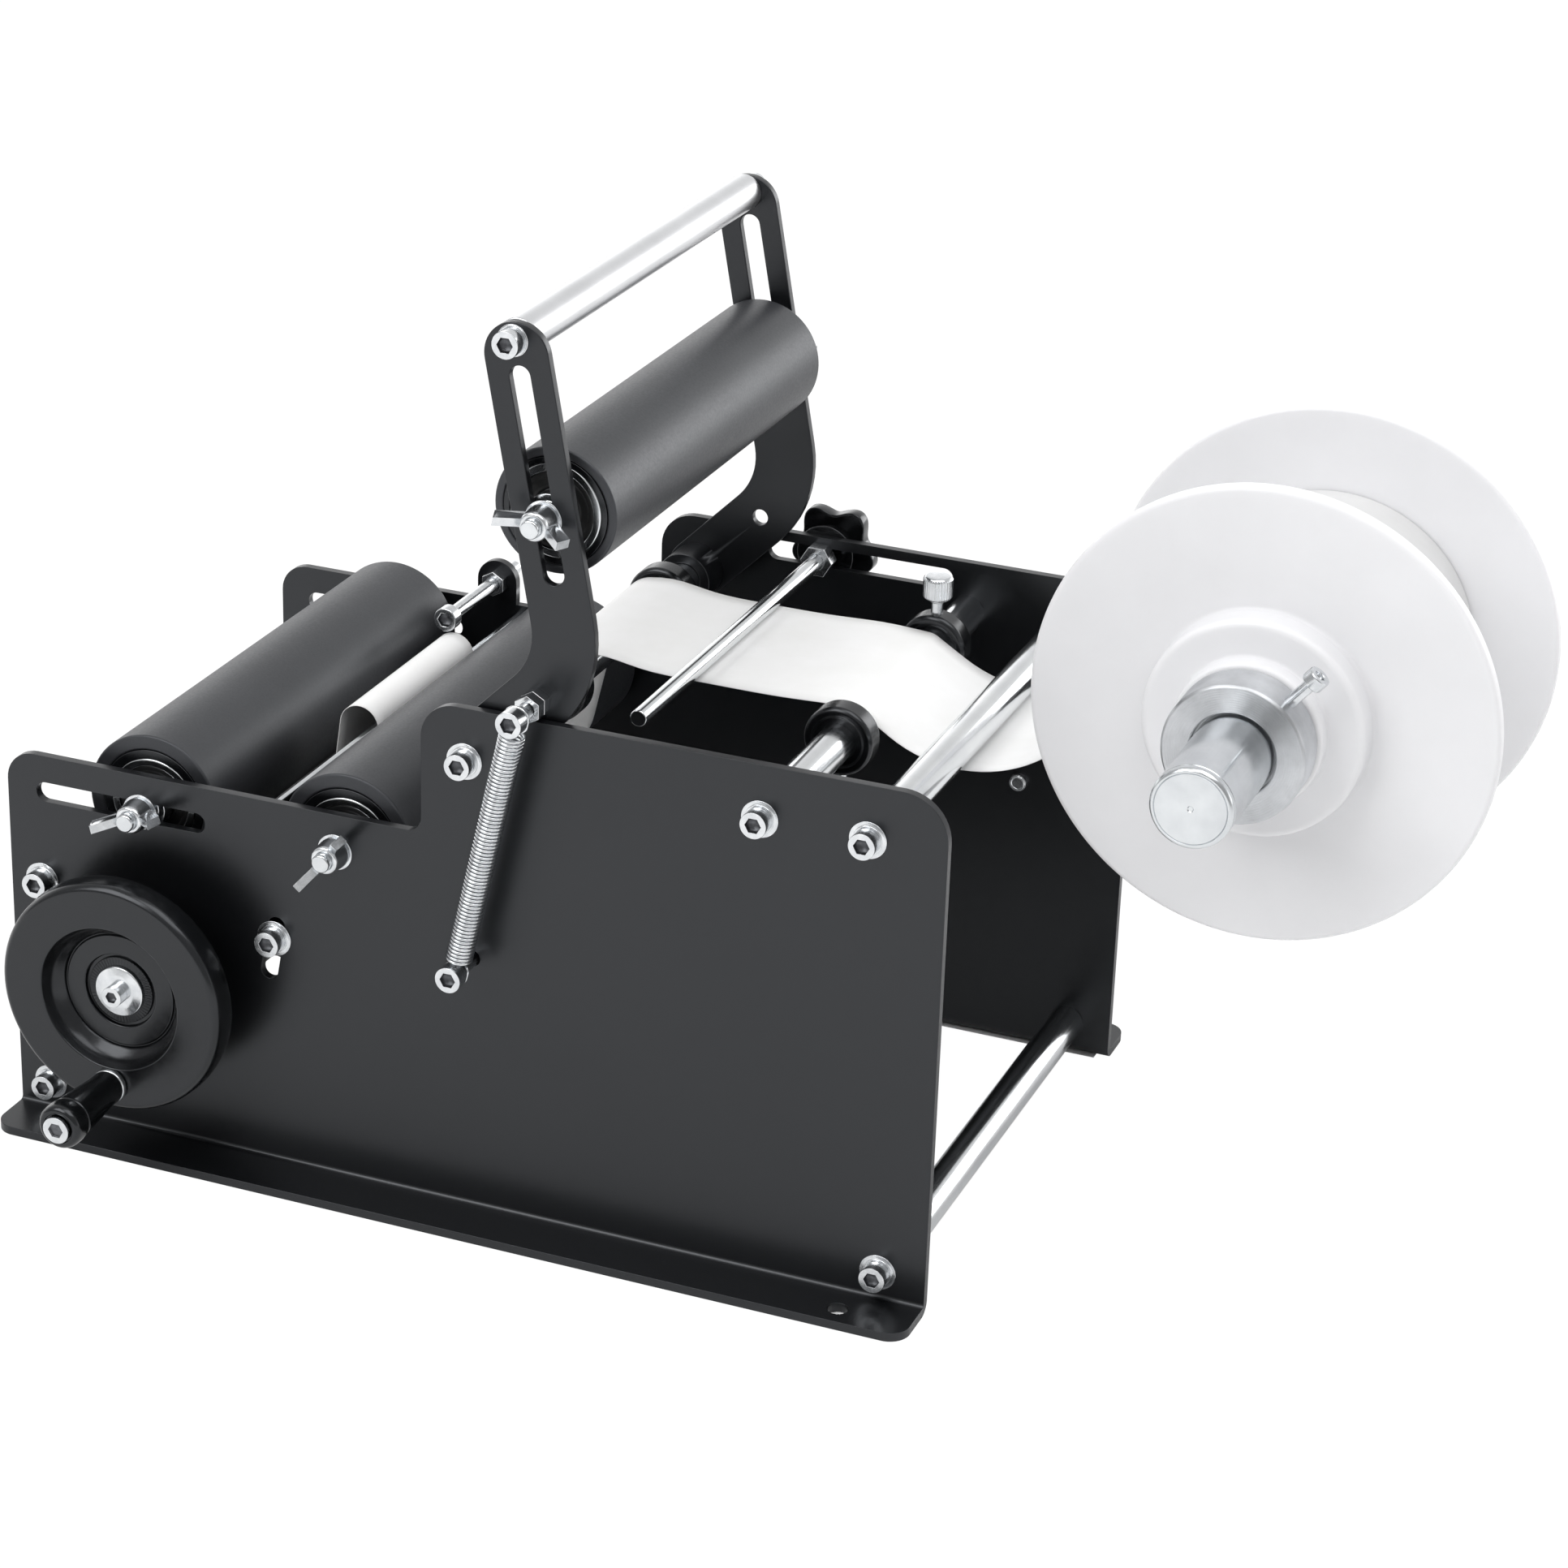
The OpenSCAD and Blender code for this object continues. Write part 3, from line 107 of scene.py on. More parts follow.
def addNode(tree, kind, settings=None, inputs=None):
    node = tree.nodes.new(kind)
    for name, value in (settings or {}).items():
        if name == "ramp":
            for stop, (place, colour) in zip(node.color_ramp.elements, value):
                stop.position, stop.color = place, linear(colour)
        else:
            setattr(node, name, value)
    for name, value in (inputs or {}).items():
        if isinstance(value, bpy.types.NodeSocket):
            tree.links.new(value, node.inputs[name])
        else:
            node.inputs[name].default_value = value
    return node


def perMm(size):
    return 1 / (size * mm)


noiseSpread = (0.3, 0.7)  # nearly all of a noise's values lie between these
alongSides = 5.0  # mm; turns the tangent along the axis on a turned piece's sides


def makeFinish(name, look):
    material = bpy.data.materials.new(name)
    material.use_nodes = True
    tree = material.node_tree
    shader = tree.nodes["Principled BSDF"]
    place = addNode(tree, "ShaderNodeTexCoord").outputs["Object"]
    patches = addNode(tree, "ShaderNodeTexNoise", None, {
        "Vector": place, "Scale": perMm(look["patchSize"]), "Detail": 4.0, "Roughness": 0.6})
    stops = zip(noiseSpread, (look["dark"], look["light"]))
    tint = addNode(tree, "ShaderNodeValToRGB", {"ramp": stops}, {"Fac": patches.outputs["Fac"]})
    tree.links.new(tint.outputs["Color"], shader.inputs["Base Color"])
    stretched = addNode(tree, "ShaderNodeMapping", None, {"Vector": place, "Scale": look["grainStretch"]})
    grain = addNode(tree, "ShaderNodeTexNoise", None, {
        "Vector": stretched.outputs["Vector"], "Scale": perMm(look["grainSize"]), "Detail": 3.0})
    gloss = addNode(tree, "ShaderNodeMapRange", None, {
        "Value": grain.outputs["Fac"], "From Min": noiseSpread[0], "From Max": noiseSpread[1],
        "To Min": look["roughness"][0], "To Max": look["roughness"][1]})
    tree.links.new(gloss.outputs["Result"], shader.inputs["Roughness"])
    bump = addNode(tree, "ShaderNodeBump", None, {
        "Height": grain.outputs["Fac"], "Strength": look["grainStrength"],
        "Distance": look["grainDepth"] * mm})
    tree.links.new(bump.outputs["Normal"], shader.inputs["Normal"])
    for socket, value in look.get("shader", {}).items():
        shader.inputs[socket].default_value = value
    if "turnedAbout" in look:
        x, z = look["turnedAbout"]
        acrossMarks = addNode(tree, "ShaderNodeMapping", None, {
            "Vector": place, "Location": (-x * mm, alongSides * mm, -z * mm), "Scale": (1.0, 0.0, 1.0)})
        tree.links.new(acrossMarks.outputs["Vector"], shader.inputs["Tangent"])
    return material


evenGrain = (1.0, 1.0, 1.0)
drawnAlongY = (1.0, 0.02, 1.0)
coolSheen = (0.92, 0.95, 1.0, 1.0)
bareMetal = {"Metallic": 1.0}
reelAxis = (233.4, 188.7)  # x and z of the reel's middle, in mm

# Polyester powder baked on steel sheet: near black, a broad satin gloss and a faint orange peel
powderCoat = makeFinish("blackPowderCoat", {
    "dark": "0a0b0d", "light": "0d0e10", "patchSize": 45, "roughness": (0.28, 0.34),
    "grainSize": 1.1, "grainStretch": evenGrain, "grainStrength": 0.10, "grainDepth": 0.02,
    "shader": {"IOR": 1.58, "Specular Tint": coolSheen}})

# Hard chrome on ground bar: mirror bright, with fine drawn lines along the bar
chromedBar = makeFinish("chromedSteelBar", {
    "dark": "d9dbde", "light": "e9ebec", "patchSize": 30, "roughness": (0.12, 0.22),
    "grainSize": 0.5, "grainStretch": drawnAlongY, "grainStrength": 0.05, "grainDepth": 0.01,
    "shader": bareMetal})

# Brushed stainless bar: the handle, a white satin with the brush marks round it
brushedBar = makeFinish("brushedStainlessBar", {
    "dark": "d6d7d9", "light": "e2e3e5", "patchSize": 25, "roughness": (0.27, 0.36),
    "grainSize": 0.5, "grainStretch": (1.0, 8.0, 1.0), "grainStrength": 0.06, "grainDepth": 0.01,
    "shader": bareMetal})

# Bright zinc over formed steel: a cool silver with slightly cloudy gloss
zincPlate = makeFinish("brightZincPlate", {
    "dark": "cfd2d5", "light": "e6e8ea", "patchSize": 4, "roughness": (0.15, 0.25),
    "grainSize": 0.6, "grainStretch": evenGrain, "grainStrength": 0.03, "grainDepth": 0.01,
    "shader": bareMetal})

# Painted shade: a darker, duller steel for the inside of a screw's socket, standing for the shade in the
# recess
socketPaintedShade = makeFinish("socketPaintedShadeSteel", {
    "dark": "5c5d60", "light": "74767a", "patchSize": 1.5, "roughness": (0.34, 0.46),
    "grainSize": 0.4, "grainStretch": evenGrain, "grainStrength": 0.10, "grainDepth": 0.01,
    "shader": bareMetal})

# Ground carbon steel: plain grey metal with fine scratches along it
groundSteel = makeFinish("groundSteel", {
    "dark": "cdd0d3", "light": "dfe2e4", "patchSize": 12, "roughness": (0.14, 0.24),
    "grainSize": 0.4, "grainStretch": drawnAlongY, "grainStrength": 0.05, "grainDepth": 0.01,
    "shader": bareMetal})

# Drawn spring wire: bright, with die lines too fine to see one by one
springWire = makeFinish("drawnSpringWire", {
    "dark": "d2d5d8", "light": "eaecee", "patchSize": 6, "roughness": (0.12, 0.20),
    "grainSize": 0.3, "grainStretch": evenGrain, "grainStrength": 0.05, "grainDepth": 0.01,
    "shader": bareMetal})

# Turned aluminium: soft white metal, its sheen fans out across the tool marks
turnedAluminium = makeFinish("turnedAluminium", {
    "dark": "bfc1c4", "light": "d4d6d9", "patchSize": 10, "roughness": (0.34, 0.42),
    "grainSize": 0.5, "grainStretch": (1.0, 6.0, 1.0), "grainStrength": 0.04, "grainDepth": 0.01,
    "shader": {"Metallic": 1.0, "Anisotropic": 0.9}, "turnedAbout": reelAxis})

# Ground nitrile rubber: satin dark grey with a dusty grain
groundRubber = makeFinish("groundNitrileRubber", {
    "dark": "26272a", "light": "2d2e31", "patchSize": 25, "roughness": (0.40, 0.50),
    "grainSize": 0.8, "grainStretch": evenGrain, "grainStrength": 0.12, "grainDepth": 0.03,
    "shader": {"IOR": 1.6, "Specular Tint": coolSheen}})

# Moulded seal rubber: matt black lips in the bearings
sealRubber = makeFinish("mouldedSealRubber", {
    "dark": "0c0d0e", "light": "121314", "patchSize": 8, "roughness": (0.42, 0.55),
    "grainSize": 0.5, "grainStretch": evenGrain, "grainStrength": 0.10, "grainDepth": 0.02,
    "shader": {"IOR": 1.5}})

# Moulded phenolic: black, half gloss, with the faint ripple of the mould
mouldedPhenolic = makeFinish("mouldedBlackPhenolic", {
    "dark": "0a0b0c", "light": "0e0f11", "patchSize": 20, "roughness": (0.20, 0.27),
    "grainSize": 2.5, "grainStretch": evenGrain, "grainStrength": 0.05, "grainDepth": 0.02,
    "shader": {"IOR": 1.55, "Specular Tint": coolSheen}})

# Polished phenolic: the grip, black with a sharper gloss from the hand
polishedPhenolic = makeFinish("polishedBlackPhenolic", {
    "dark": "08090a", "light": "0c0d0e", "patchSize": 15, "roughness": (0.15, 0.22),
    "grainSize": 3.0, "grainStretch": evenGrain, "grainStrength": 0.04, "grainDepth": 0.02,
    "shader": {"IOR": 1.55, "Specular Tint": coolSheen}})

# Machined nylon: milky white, light goes a little way in and softens the edges
milkyNylon = makeFinish("machinedNylon", {
    "dark": "e5e5e7", "light": "eaeaec", "patchSize": 50, "roughness": (0.36, 0.46),
    "grainSize": 0.8, "grainStretch": evenGrain, "grainStrength": 0.05, "grainDepth": 0.02,
    "shader": {"IOR": 1.53, "Subsurface Weight": 0.3, "Subsurface Radius": (0.006, 0.006, 0.006),
               "Subsurface Scale": 1.0}})

# Coated label stock: smooth white paper with a very faint fibre
labelPaper = makeFinish("coatedLabelPaper", {
    "dark": "f3f3f2", "light": "f8f8f8", "patchSize": 18, "roughness": (0.50, 0.62),
    "grainSize": 0.6, "grainStretch": (1.0, 0.4, 1.0), "grainStrength": 0.10, "grainDepth": 0.02,
    "shader": {"IOR": 1.5}})

# Glassine liner: the greyer backing that lies outside on the roll
glassineLiner = makeFinish("glassineLiner", {
    "dark": "d6d6d6", "light": "dcdcdc", "patchSize": 18, "roughness": (0.45, 0.55),
    "grainSize": 0.6, "grainStretch": evenGrain, "grainStrength": 0.10, "grainDepth": 0.02,
    "shader": {"IOR": 1.5}})

# Wound card: the tube that the labels are wound on
woundCard = makeFinish("woundCard", {
    "dark": "b79a74", "light": "c8ad88", "patchSize": 6, "roughness": (0.70, 0.82),
    "grainSize": 0.5, "grainStretch": (1.0, 0.3, 1.0), "grainStrength": 0.25, "grainDepth": 0.05,
    "shader": {"IOR": 1.45}})

# Sintered bronze: dull yellow-brown with open pores
sinteredBronze = makeFinish("sinteredBronze", {
    "dark": "7d6138", "light": "96784a", "patchSize": 3, "roughness": (0.42, 0.58),
    "grainSize": 0.3, "grainStretch": evenGrain, "grainStrength": 0.30, "grainDepth": 0.03,
    "shader": bareMetal})
print("finishes made")


# Making pieces

def addPiece(name, bm, body, finish, replaced=(), sharpAt=60, inner=None):
    mesh = bpy.data.meshes.new(name)
    bm.normal_update()
    bm.to_mesh(mesh)
    bm.free()
    mesh.polygons.foreach_set("use_smooth", [True] * len(mesh.polygons))
    mesh.set_sharp_from_angle(angle=math.radians(sharpAt))
    mesh.materials.append(finish)
    if inner:
        mesh.materials.append(inner)
    piece = bpy.data.objects.new(name, mesh)
    scene.collection.objects.link(piece)
    weights = piece.modifiers.new("evenNormals", "WEIGHTED_NORMAL")
    weights.keep_sharp = True
    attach(piece, body)
    if replaced:
        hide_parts(*replaced)
    return piece


def pieceName(node):
    first, *rest = node.split("_")
    return first + "".join(word.capitalize() for word in rest)


def copyNode(node, weld=1e-6, flatWithin=0.5):
    bm = bmesh.new()
    bm.from_mesh(nodes[node].data)
    bmesh.ops.remove_doubles(bm, verts=bm.verts, dist=weld)
    bmesh.ops.dissolve_limit(bm, angle_limit=math.radians(flatWithin), verts=bm.verts, edges=bm.edges)
    return bm


def roundEdges(bm, size, steps=2, sharperThan=28):
    edges = [e for e in bm.edges if e.is_manifold and e.is_convex
             and e.calc_face_angle(0) > math.radians(sharperThan)]
    bmesh.ops.bevel(
        bm, geom=edges, offset=size * mm, offset_type="OFFSET", affect="EDGES", segments=steps,
        profile=0.5, material=-1, clamp_overlap=True)


def joinInto(target, part):
    scrap = bpy.data.meshes.new("scrap")
    part.to_mesh(scrap)
    part.free()
    target.from_mesh(scrap)
    bpy.data.meshes.remove(scrap)


def frameAt(centre, outward, across=None):
    side = Vector(across) if across else outward.orthogonal().normalized()
    turn = Matrix((side, outward.cross(side), outward)).transposed().to_4x4()
    return Matrix.Translation(Vector(centre) * mm) @ turn


# Corners of a profile rounded off, along each side by at most a share of its length
def softened(profile, steps=4, longest=0.48):
    points = []
    for i, corner in enumerate(profile):
        here = Vector(corner[:2])
        size = corner[2] if len(corner) > 2 else 0
        ways = [Vector(profile[i - 1][:2]) - here, Vector(profile[(i + 1) % len(profile)][:2]) - here]
        if not size:
            points.append(here)
            continue
        start, end = [here + way.normalized() * min(size, way.length * longest) for way in ways]
        for k in range(steps + 1):
            t = k / steps
            points.append(start * (1 - t) ** 2 + here * 2 * t * (1 - t) + end * t ** 2)
    return points


# Body of revolution about the local Z axis, from corners of (radius, height, rounding) in mm
def turned(profile, steps=96, weld=1e-7):
    points = softened(profile)
    bm = bmesh.new()
    ring = [bm.verts.new((p.x * mm, 0, p.y * mm)) for p in points]
    pairs = list(zip(ring, ring[1:]))
    if points[0].x > 0:
        pairs.append((ring[-1], ring[0]))
    edges = [bm.edges.new(pair) for pair in pairs]
    bmesh.ops.spin(bm, geom=ring + edges, cent=(0, 0, 0), axis=(0, 0, 1), dvec=(0, 0, 0),
                   angle=2 * math.pi, steps=steps, use_merge=True)
    bmesh.ops.remove_doubles(bm, verts=bm.verts, dist=weld)
    bmesh.ops.recalc_face_normals(bm, faces=bm.faces)
    return bm


# Fine rings that a lathe tool leaves on a face, as corners of a profile
def toolMarks(fromRadius, toRadius, height, pitch, depth):
    count = max(2, round(abs(toRadius - fromRadius) / pitch * 2))
    return [(fromRadius + (toRadius - fromRadius) * k / count, height - depth * (k % 2))
            for k in range(count + 1)]


def joinTurned(bm, parts, steps):
    for profile, centre, outward in parts:
        part = turned(profile, steps)
        part.transform(frameAt(centre, outward))
        joinInto(bm, part)


def addTurned(name, parts, body, finish, replaced=(), steps=96, sharpAt=60):
    bm = bmesh.new()
    joinTurned(bm, parts, steps)
    addPiece(name, bm, body, finish, replaced, sharpAt)


def boxOf(verts):
    return [Vector([pick(v.co[k] for v in verts) for k in range(3)]) / mm for pick in (min, max)]


def looseParts(bm):
    left = set(bm.verts)
    parts = []
    while left:
        reached = [left.pop()]
        for vert in reached:
            for edge in vert.link_edges:
                other = edge.other_vert(vert)
                if other in left:
                    left.remove(other)
                    reached.append(other)
        parts.append(reached)
    return sorted(parts, key=lambda part: boxOf(part)[0][:])


def nodeBox(node):
    return [Vector(corner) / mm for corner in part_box(node)]


def onAxis(low, high, y):
    return ((low.x + high.x) / 2, y, (low.z + high.z) / 2)


def onReel(y):
    return (reelAxis[0], y, reelAxis[1])


# Where a washer or nut meets the plate that it lies on, and the way it faces
def seatOf(low, high):
    if low.y > 0:
        return onAxis(low, high, low.y), alongBar
    return onAxis(low, high, high.y), towardsEye


# Pieces that keep the frame's own shape and get worked edges
carried = [
    {"nodes": ["near_side_plate", "far_side_plate", "reel_bracket", "near_lever_arm", "far_lever_arm"],
     "edge": 0.35, "finish": powderCoat, "slot": "black_powder_coat"},
    {"nodes": ["tie_rods", "guide_rods", "lever_pivot_shaft", "hold_down_rod"],
     "edge": 0.5, "finish": chromedBar, "slot": "chromed_rod"},
    {"nodes": ["handle_bar"], "edge": 0.5, "finish": brushedBar, "slot": "chromed_rod"},
    {"nodes": ["frame_nuts", "spring_stud_nuts", "hold_down_nut"],
     "edge": 0.3, "finish": zincPlate, "slot": "zinc_plated_steel"},
    {"nodes": ["rear_roller_axle", "front_roller_axle", "press_roller_axle", "crank_shaft"],
     "edge": 0.6, "finish": groundSteel, "slot": "bright_steel"},
    {"nodes": ["take_up_core"], "edge": 0.4, "finish": turnedAluminium, "slot": "turned_aluminium"},
    {"nodes": ["front_roller_core", "rear_roller_core", "press_roller_core"],
     "edge": 0.3, "finish": mouldedPhenolic, "slot": "black_plastic"},
    {"nodes": ["front_roller_sleeve", "rear_roller_sleeve", "press_roller_sleeve", "take_up_sleeve"],
     "edge": 0.8, "steps": 3, "finish": groundRubber, "slot": "grey_rubber"},
    {"nodes": ["crank_bushes"], "edge": 0.3, "finish": sinteredBronze, "slot": "bush_bronze"},
]
for group in carried:
    for node in group["nodes"]:
        bm = copyNode(node)
        roundEdges(bm, group["edge"], steps=group.get("steps", 2))
        addPiece(pieceName(node), bm, nodes[node]["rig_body"], group["finish"], [node])
print("carried pieces finished")

# Socket screws: bright heads with painted shade in the sockets: the faces that look inwards near a screw's
# axis get a darker, duller steel
screws = {
    "nodes": ["frame_screws", "handle_screws", "spring_stud_screw", "bottle_stop_screw", "crank_screws",
              "reel_clamp_screw"],
    "edge": 0.4, "socketRadius": 2.75, "clearOfEnds": 0.6, "facesIn": 0.2, "square": 0.9,
}


def markSocketShade(part, s):
    low, high = [corner * mm for corner in boxOf(part)]
    size = high - low
    axis = max(range(3), key=lambda k: size[k])
    for face in {f for v in part for f in v.link_faces}:
        place = face.calc_center_median()
        away = place - (low + high) / 2
        away[axis] = 0
        if away.length > s["socketRadius"] * mm:
            continue
        looksIn = face.normal.dot(away) < -s["facesIn"] * away.length
        fromEnds = min(place[axis] - low[axis], high[axis] - place[axis])
        isFloor = abs(face.normal[axis]) > s["square"] and fromEnds > s["clearOfEnds"] * mm
        if looksIn or isFloor:
            # painted shade: these socket faces take the darker steel
            face.material_index = 1


def addScrews(s):
    for node in s["nodes"]:
        bm = copyNode(node)
        for part in looseParts(bm):
            markSocketShade(part, s)
        roundEdges(bm, s["edge"])
        addPiece(pieceName(node), bm, nodes[node]["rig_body"], zincPlate, [node],
                 inner=socketPaintedShade)


addScrews(screws)

# Ends of the bracket screws inside the far plate: a rolled rim round a shallow hollow
bracketEnds = {
    "places": [(122.0, 98.8), (143.79, 116.38)], "tip": 90.0,
    "profile": [(0, -0.3), (1.7, -0.3, 0.2), (2.0, 0.2, 0.2), (2.45, 0.35, 0.3), (2.98, -0.5, 0.4),
                (2.98, -1.0), (0, -1.0)],
}
tips = [(bracketEnds["profile"], (x, bracketEnds["tip"], z), towardsEye) for x, z in bracketEnds["places"]]
addTurned("bracketScrewEnds", tips, "frame", zincPlate)
print("screws set")

# Peel plate: its top 0.5 mm is bright ground steel, which draws a bright line along the top edge
peel = {"edge": 0.2, "brightEdge": 0.5, "lean": 9.8}


def addPeelPlate(s):
    whole = copyNode("peel_plate")
    slope = Vector((math.sin(math.radians(s["lean"])), 0, math.cos(math.radians(s["lean"]))))
    top = max(v.co.dot(slope) for v in whole.verts)
    for name, finish, slot, keepsTop, replaced in [
            ("peelPlate", powderCoat, "black_powder_coat", False, ["peel_plate"]),
            ("peelEdge", groundSteel, "bright_steel", True, [])]:
        bm = whole.copy()
        cut = bmesh.ops.bisect_plane(
            bm, geom=bm.verts[:] + bm.edges[:] + bm.faces[:], plane_co=slope * (top - s["brightEdge"] * mm),
            plane_no=slope, clear_outer=not keepsTop, clear_inner=keepsTop)["geom_cut"]
        bmesh.ops.edgenet_fill(bm, edges=[e for e in cut if isinstance(e, bmesh.types.BMEdge)])
        bmesh.ops.recalc_face_normals(bm, faces=bm.faces)
        roundEdges(bm, s["edge"])
        addPiece(name, bm, "frame", finish, replaced)
    whole.free()


addPeelPlate(peel)
print("peel plate bent")

# Washers: a flat washer with a spring washer on it where a screw head sits
washers = {
    "nodes": ["frame_washers", "front_axle_washers", "press_axle_washers", "handle_washers"],
    "flat": 0.55, "springRadius": 4.75, "bore": 2.7, "thickest": 1.2, "widest": 13, "edge": 0.2, "steps": 64,
}


def addWashers(s):
    for node in s["nodes"]:
        bm = copyNode(node)
        flatParts = []
        for part in looseParts(bm):
            low, high = boxOf(part)
            size = high - low
            if size.y > s["thickest"] or size.x > s["widest"]:
                continue
            radius = size.x / 2
            profile = [
                (s["bore"], 0), (radius, 0, 0.15), (radius, s["flat"], 0.2), (s["springRadius"], s["flat"]),
                (s["springRadius"], size.y, 0.15), (s["bore"], size.y)]
            flatParts.append((profile, *seatOf(low, high)))
            bmesh.ops.delete(bm, geom=part, context="VERTS")
        roundEdges(bm, s["edge"])
        joinTurned(bm, flatParts, s["steps"])
        addPiece(pieceName(node), bm, nodes[node]["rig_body"], zincPlate, [node])


addWashers(washers)
print("washers stamped")

# Wing nuts: a tapered boss with two flat wings, each with a raised rim; turns are from +X towards +Z
wingNuts = {
    "places": [("rear_axle_wing_nuts", 52), ("front_axle_wing_nuts", 15), ("press_axle_wing_nuts", -12)],
    "boss": [(3.02, 0), (5.3, 0, 0.5), (4.6, 7.1, 1.3), (3.02, 7.1, 0.3)],
    "wing": [(3.9, 0.8), (4.9, 0.8), (12.5, 7.8), (10.7, 13.0), (3.7, 6.5)],
    "thick": 2.8, "rim": 1.0, "rimHeight": 0.45, "edge": 0.4, "steps": 64, "square": 0.9,
}


def wingPart(s, way):
    bm = bmesh.new()
    face = bm.faces.new([bm.verts.new((way * x * mm, -s["thick"] / 2 * mm, z * mm)) for x, z in s["wing"]])
    raised = bmesh.ops.extrude_face_region(bm, geom=[face])["geom"]
    bmesh.ops.translate(bm, verts=[v for v in raised if isinstance(v, bmesh.types.BMVert)],
                        vec=(0, s["thick"] * mm, 0))
    bmesh.ops.recalc_face_normals(bm, faces=bm.faces)
    flats = [f for f in bm.faces if abs(f.normal.y) > s["square"]]
    for flat in flats:
        bmesh.ops.inset_region(bm, faces=[flat], thickness=s["rim"] * mm, depth=-s["rimHeight"] * mm)
    roundEdges(bm, s["edge"])
    return bm


def addWingNuts(s):
    for node, angle in s["places"]:
        source = copyNode(node)
        bm = bmesh.new()
        for part in looseParts(source):
            low, high = boxOf(part)
            turn = math.radians(angle)
            place = frameAt(*seatOf(low, high), (math.cos(turn), 0, math.sin(turn)))
            for shape in [turned(s["boss"], s["steps"]), wingPart(s, 1), wingPart(s, -1)]:
                shape.transform(place)
                joinInto(bm, shape)
        source.free()
        addPiece(pieceName(node), bm, nodes[node]["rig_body"], zincPlate, [node])


addWingNuts(wingNuts)
print("wing nuts formed")

# Sealed bearings: two steel races with a black lip between them
bearings = {
    "rollers": ["front_roller", "rear_roller", "press_roller"],
    "races": [[(12.5, -9, 0.3), (15, -9, 0.4), (15, 0, 0.6), (12.5, 0, 0.35)],
              [(5.05, -9, 0.2), (7.0, -9, 0.3), (7.0, 0, 0.35), (5.05, 0, 0.3)]],
    "seal": [(7.0, -8.4), (12.5, -8.4), (12.5, -0.9), (12.0, -0.5, 0.2), (10.9, -0.5, 0.2),
             (10.3, -0.9, 0.3), (8.2, -0.9, 0.3), (7.6, -0.5, 0.2), (7.0, -0.9)],
}
for roller in bearings["rollers"]:
    node = roller + "_bearings"
    low, high = nodeBox(node)
    faces = [(onAxis(low, high, low.y), towardsEye), (onAxis(low, high, high.y), alongBar)]
    races = [(race, *face) for race in bearings["races"] for face in faces]
    seals = [(bearings["seal"], *face) for face in faces]
    addTurned(pieceName(node), races, roller, groundSteel, [node])
    addTurned(pieceName(roller) + "Seals", seals, roller, sealRubber)
print("bearings pressed in")

# Handwheel: dished front with a raised ring round the hub, heights outwards from the widest circle
handwheel = {
    "centre": (-111.0, -112.0, 61.4),
    "wheel": [(5.05, -14.7), (13.3, -14.7, 1.0), (13.3, -7, 1.5), (25.3, -7, 2.0), (34.0, -6, 3.0),
              (38.6, -4.4, 2.5), (39.9, 0, 3.0), (39.4, 5.8, 1.4), (37.8, 7.3, 0.8), (24.7, 7.3, 0.5),
              (23.6, 3.0, 2.4), (20.4, 0.1, 0.6), (20.0, -0.8, 0.2), (19.6, -0.8, 0.2), (19.3, 0, 0.3),
              (12.8, 0, 0.5), (12.6, -1.4, 0.2), (5.05, -1.4)],
    "wheelSteps": 144,
    "insert": [(5.1, -1.3), (11.5, -1.3), (11.5, -0.5, 0.3), (8.6, -0.2, 0.2), (5.1, -0.2)],
    "serrations": 60, "serrationHeight": 0.22, "serrationPoints": 4, "serratedPast": (8.7, -0.7),
    "washer": [(2.1, 0), (8.8, 0, 0.2), (8.6, 0.9, 0.4), (5.4, 1.7, 0.8), (2.1, 1.7)],
}
addTurned("handwheel", [(handwheel["wheel"], handwheel["centre"], towardsEye)], "crank", mouldedPhenolic,
          ["handwheel"], steps=handwheel["wheelSteps"])
bm = turned(handwheel["insert"], handwheel["serrations"] * handwheel["serrationPoints"])
outside, above = handwheel["serratedPast"]
for vert in bm.verts:
    if vert.co.z > above * mm and math.hypot(vert.co.x, vert.co.y) > outside * mm:
        wave = math.cos(math.atan2(vert.co.y, vert.co.x) * handwheel["serrations"])
        vert.co.z += wave * handwheel["serrationHeight"] / 2 * mm
bm.transform(frameAt(handwheel["centre"], towardsEye))
addPiece("handwheelInsert", bm, "crank", mouldedPhenolic)
addTurned("handwheelWasher", [(handwheel["washer"], handwheel["centre"], towardsEye)], "crank", zincPlate,
          ["handwheel_washer"])

# Grip: a smooth taper with a bead at its free end and a bright ferrule by the wheel
grip = {
    "centre": (-111.0, -119.6, 31.2),
    "handle": [(3.05, 2.2), (5.7, 2.2, 0.5), (5.6, 6.0, 2.0), (6.3, 14.0, 4.0), (7.0, 22.5, 3.0),
               (7.1, 25.0, 0.6), (6.7, 25.6, 0.4), (7.5, 26.4, 0.6), (7.7, 29.0, 1.5), (7.4, 31.8, 1.0),
               (6.4, 33.0, 0.9), (5.0, 33.0, 0.3), (5.0, 32.4), (3.05, 32.4)],
    "ferrule": [(3.05, 0), (5.7, 0, 0.4), (6.0, 1.1, 0.6), (5.7, 2.2, 0.4), (3.05, 2.2)],
}
addTurned("crankGrip", [(grip["handle"], grip["centre"], towardsEye)], "grip", polishedPhenolic,
          ["crank_grip"])
addTurned("gripFerrule", [(grip["ferrule"], grip["centre"], towardsEye)], "grip", zincPlate)
print("handwheel and grip turned")

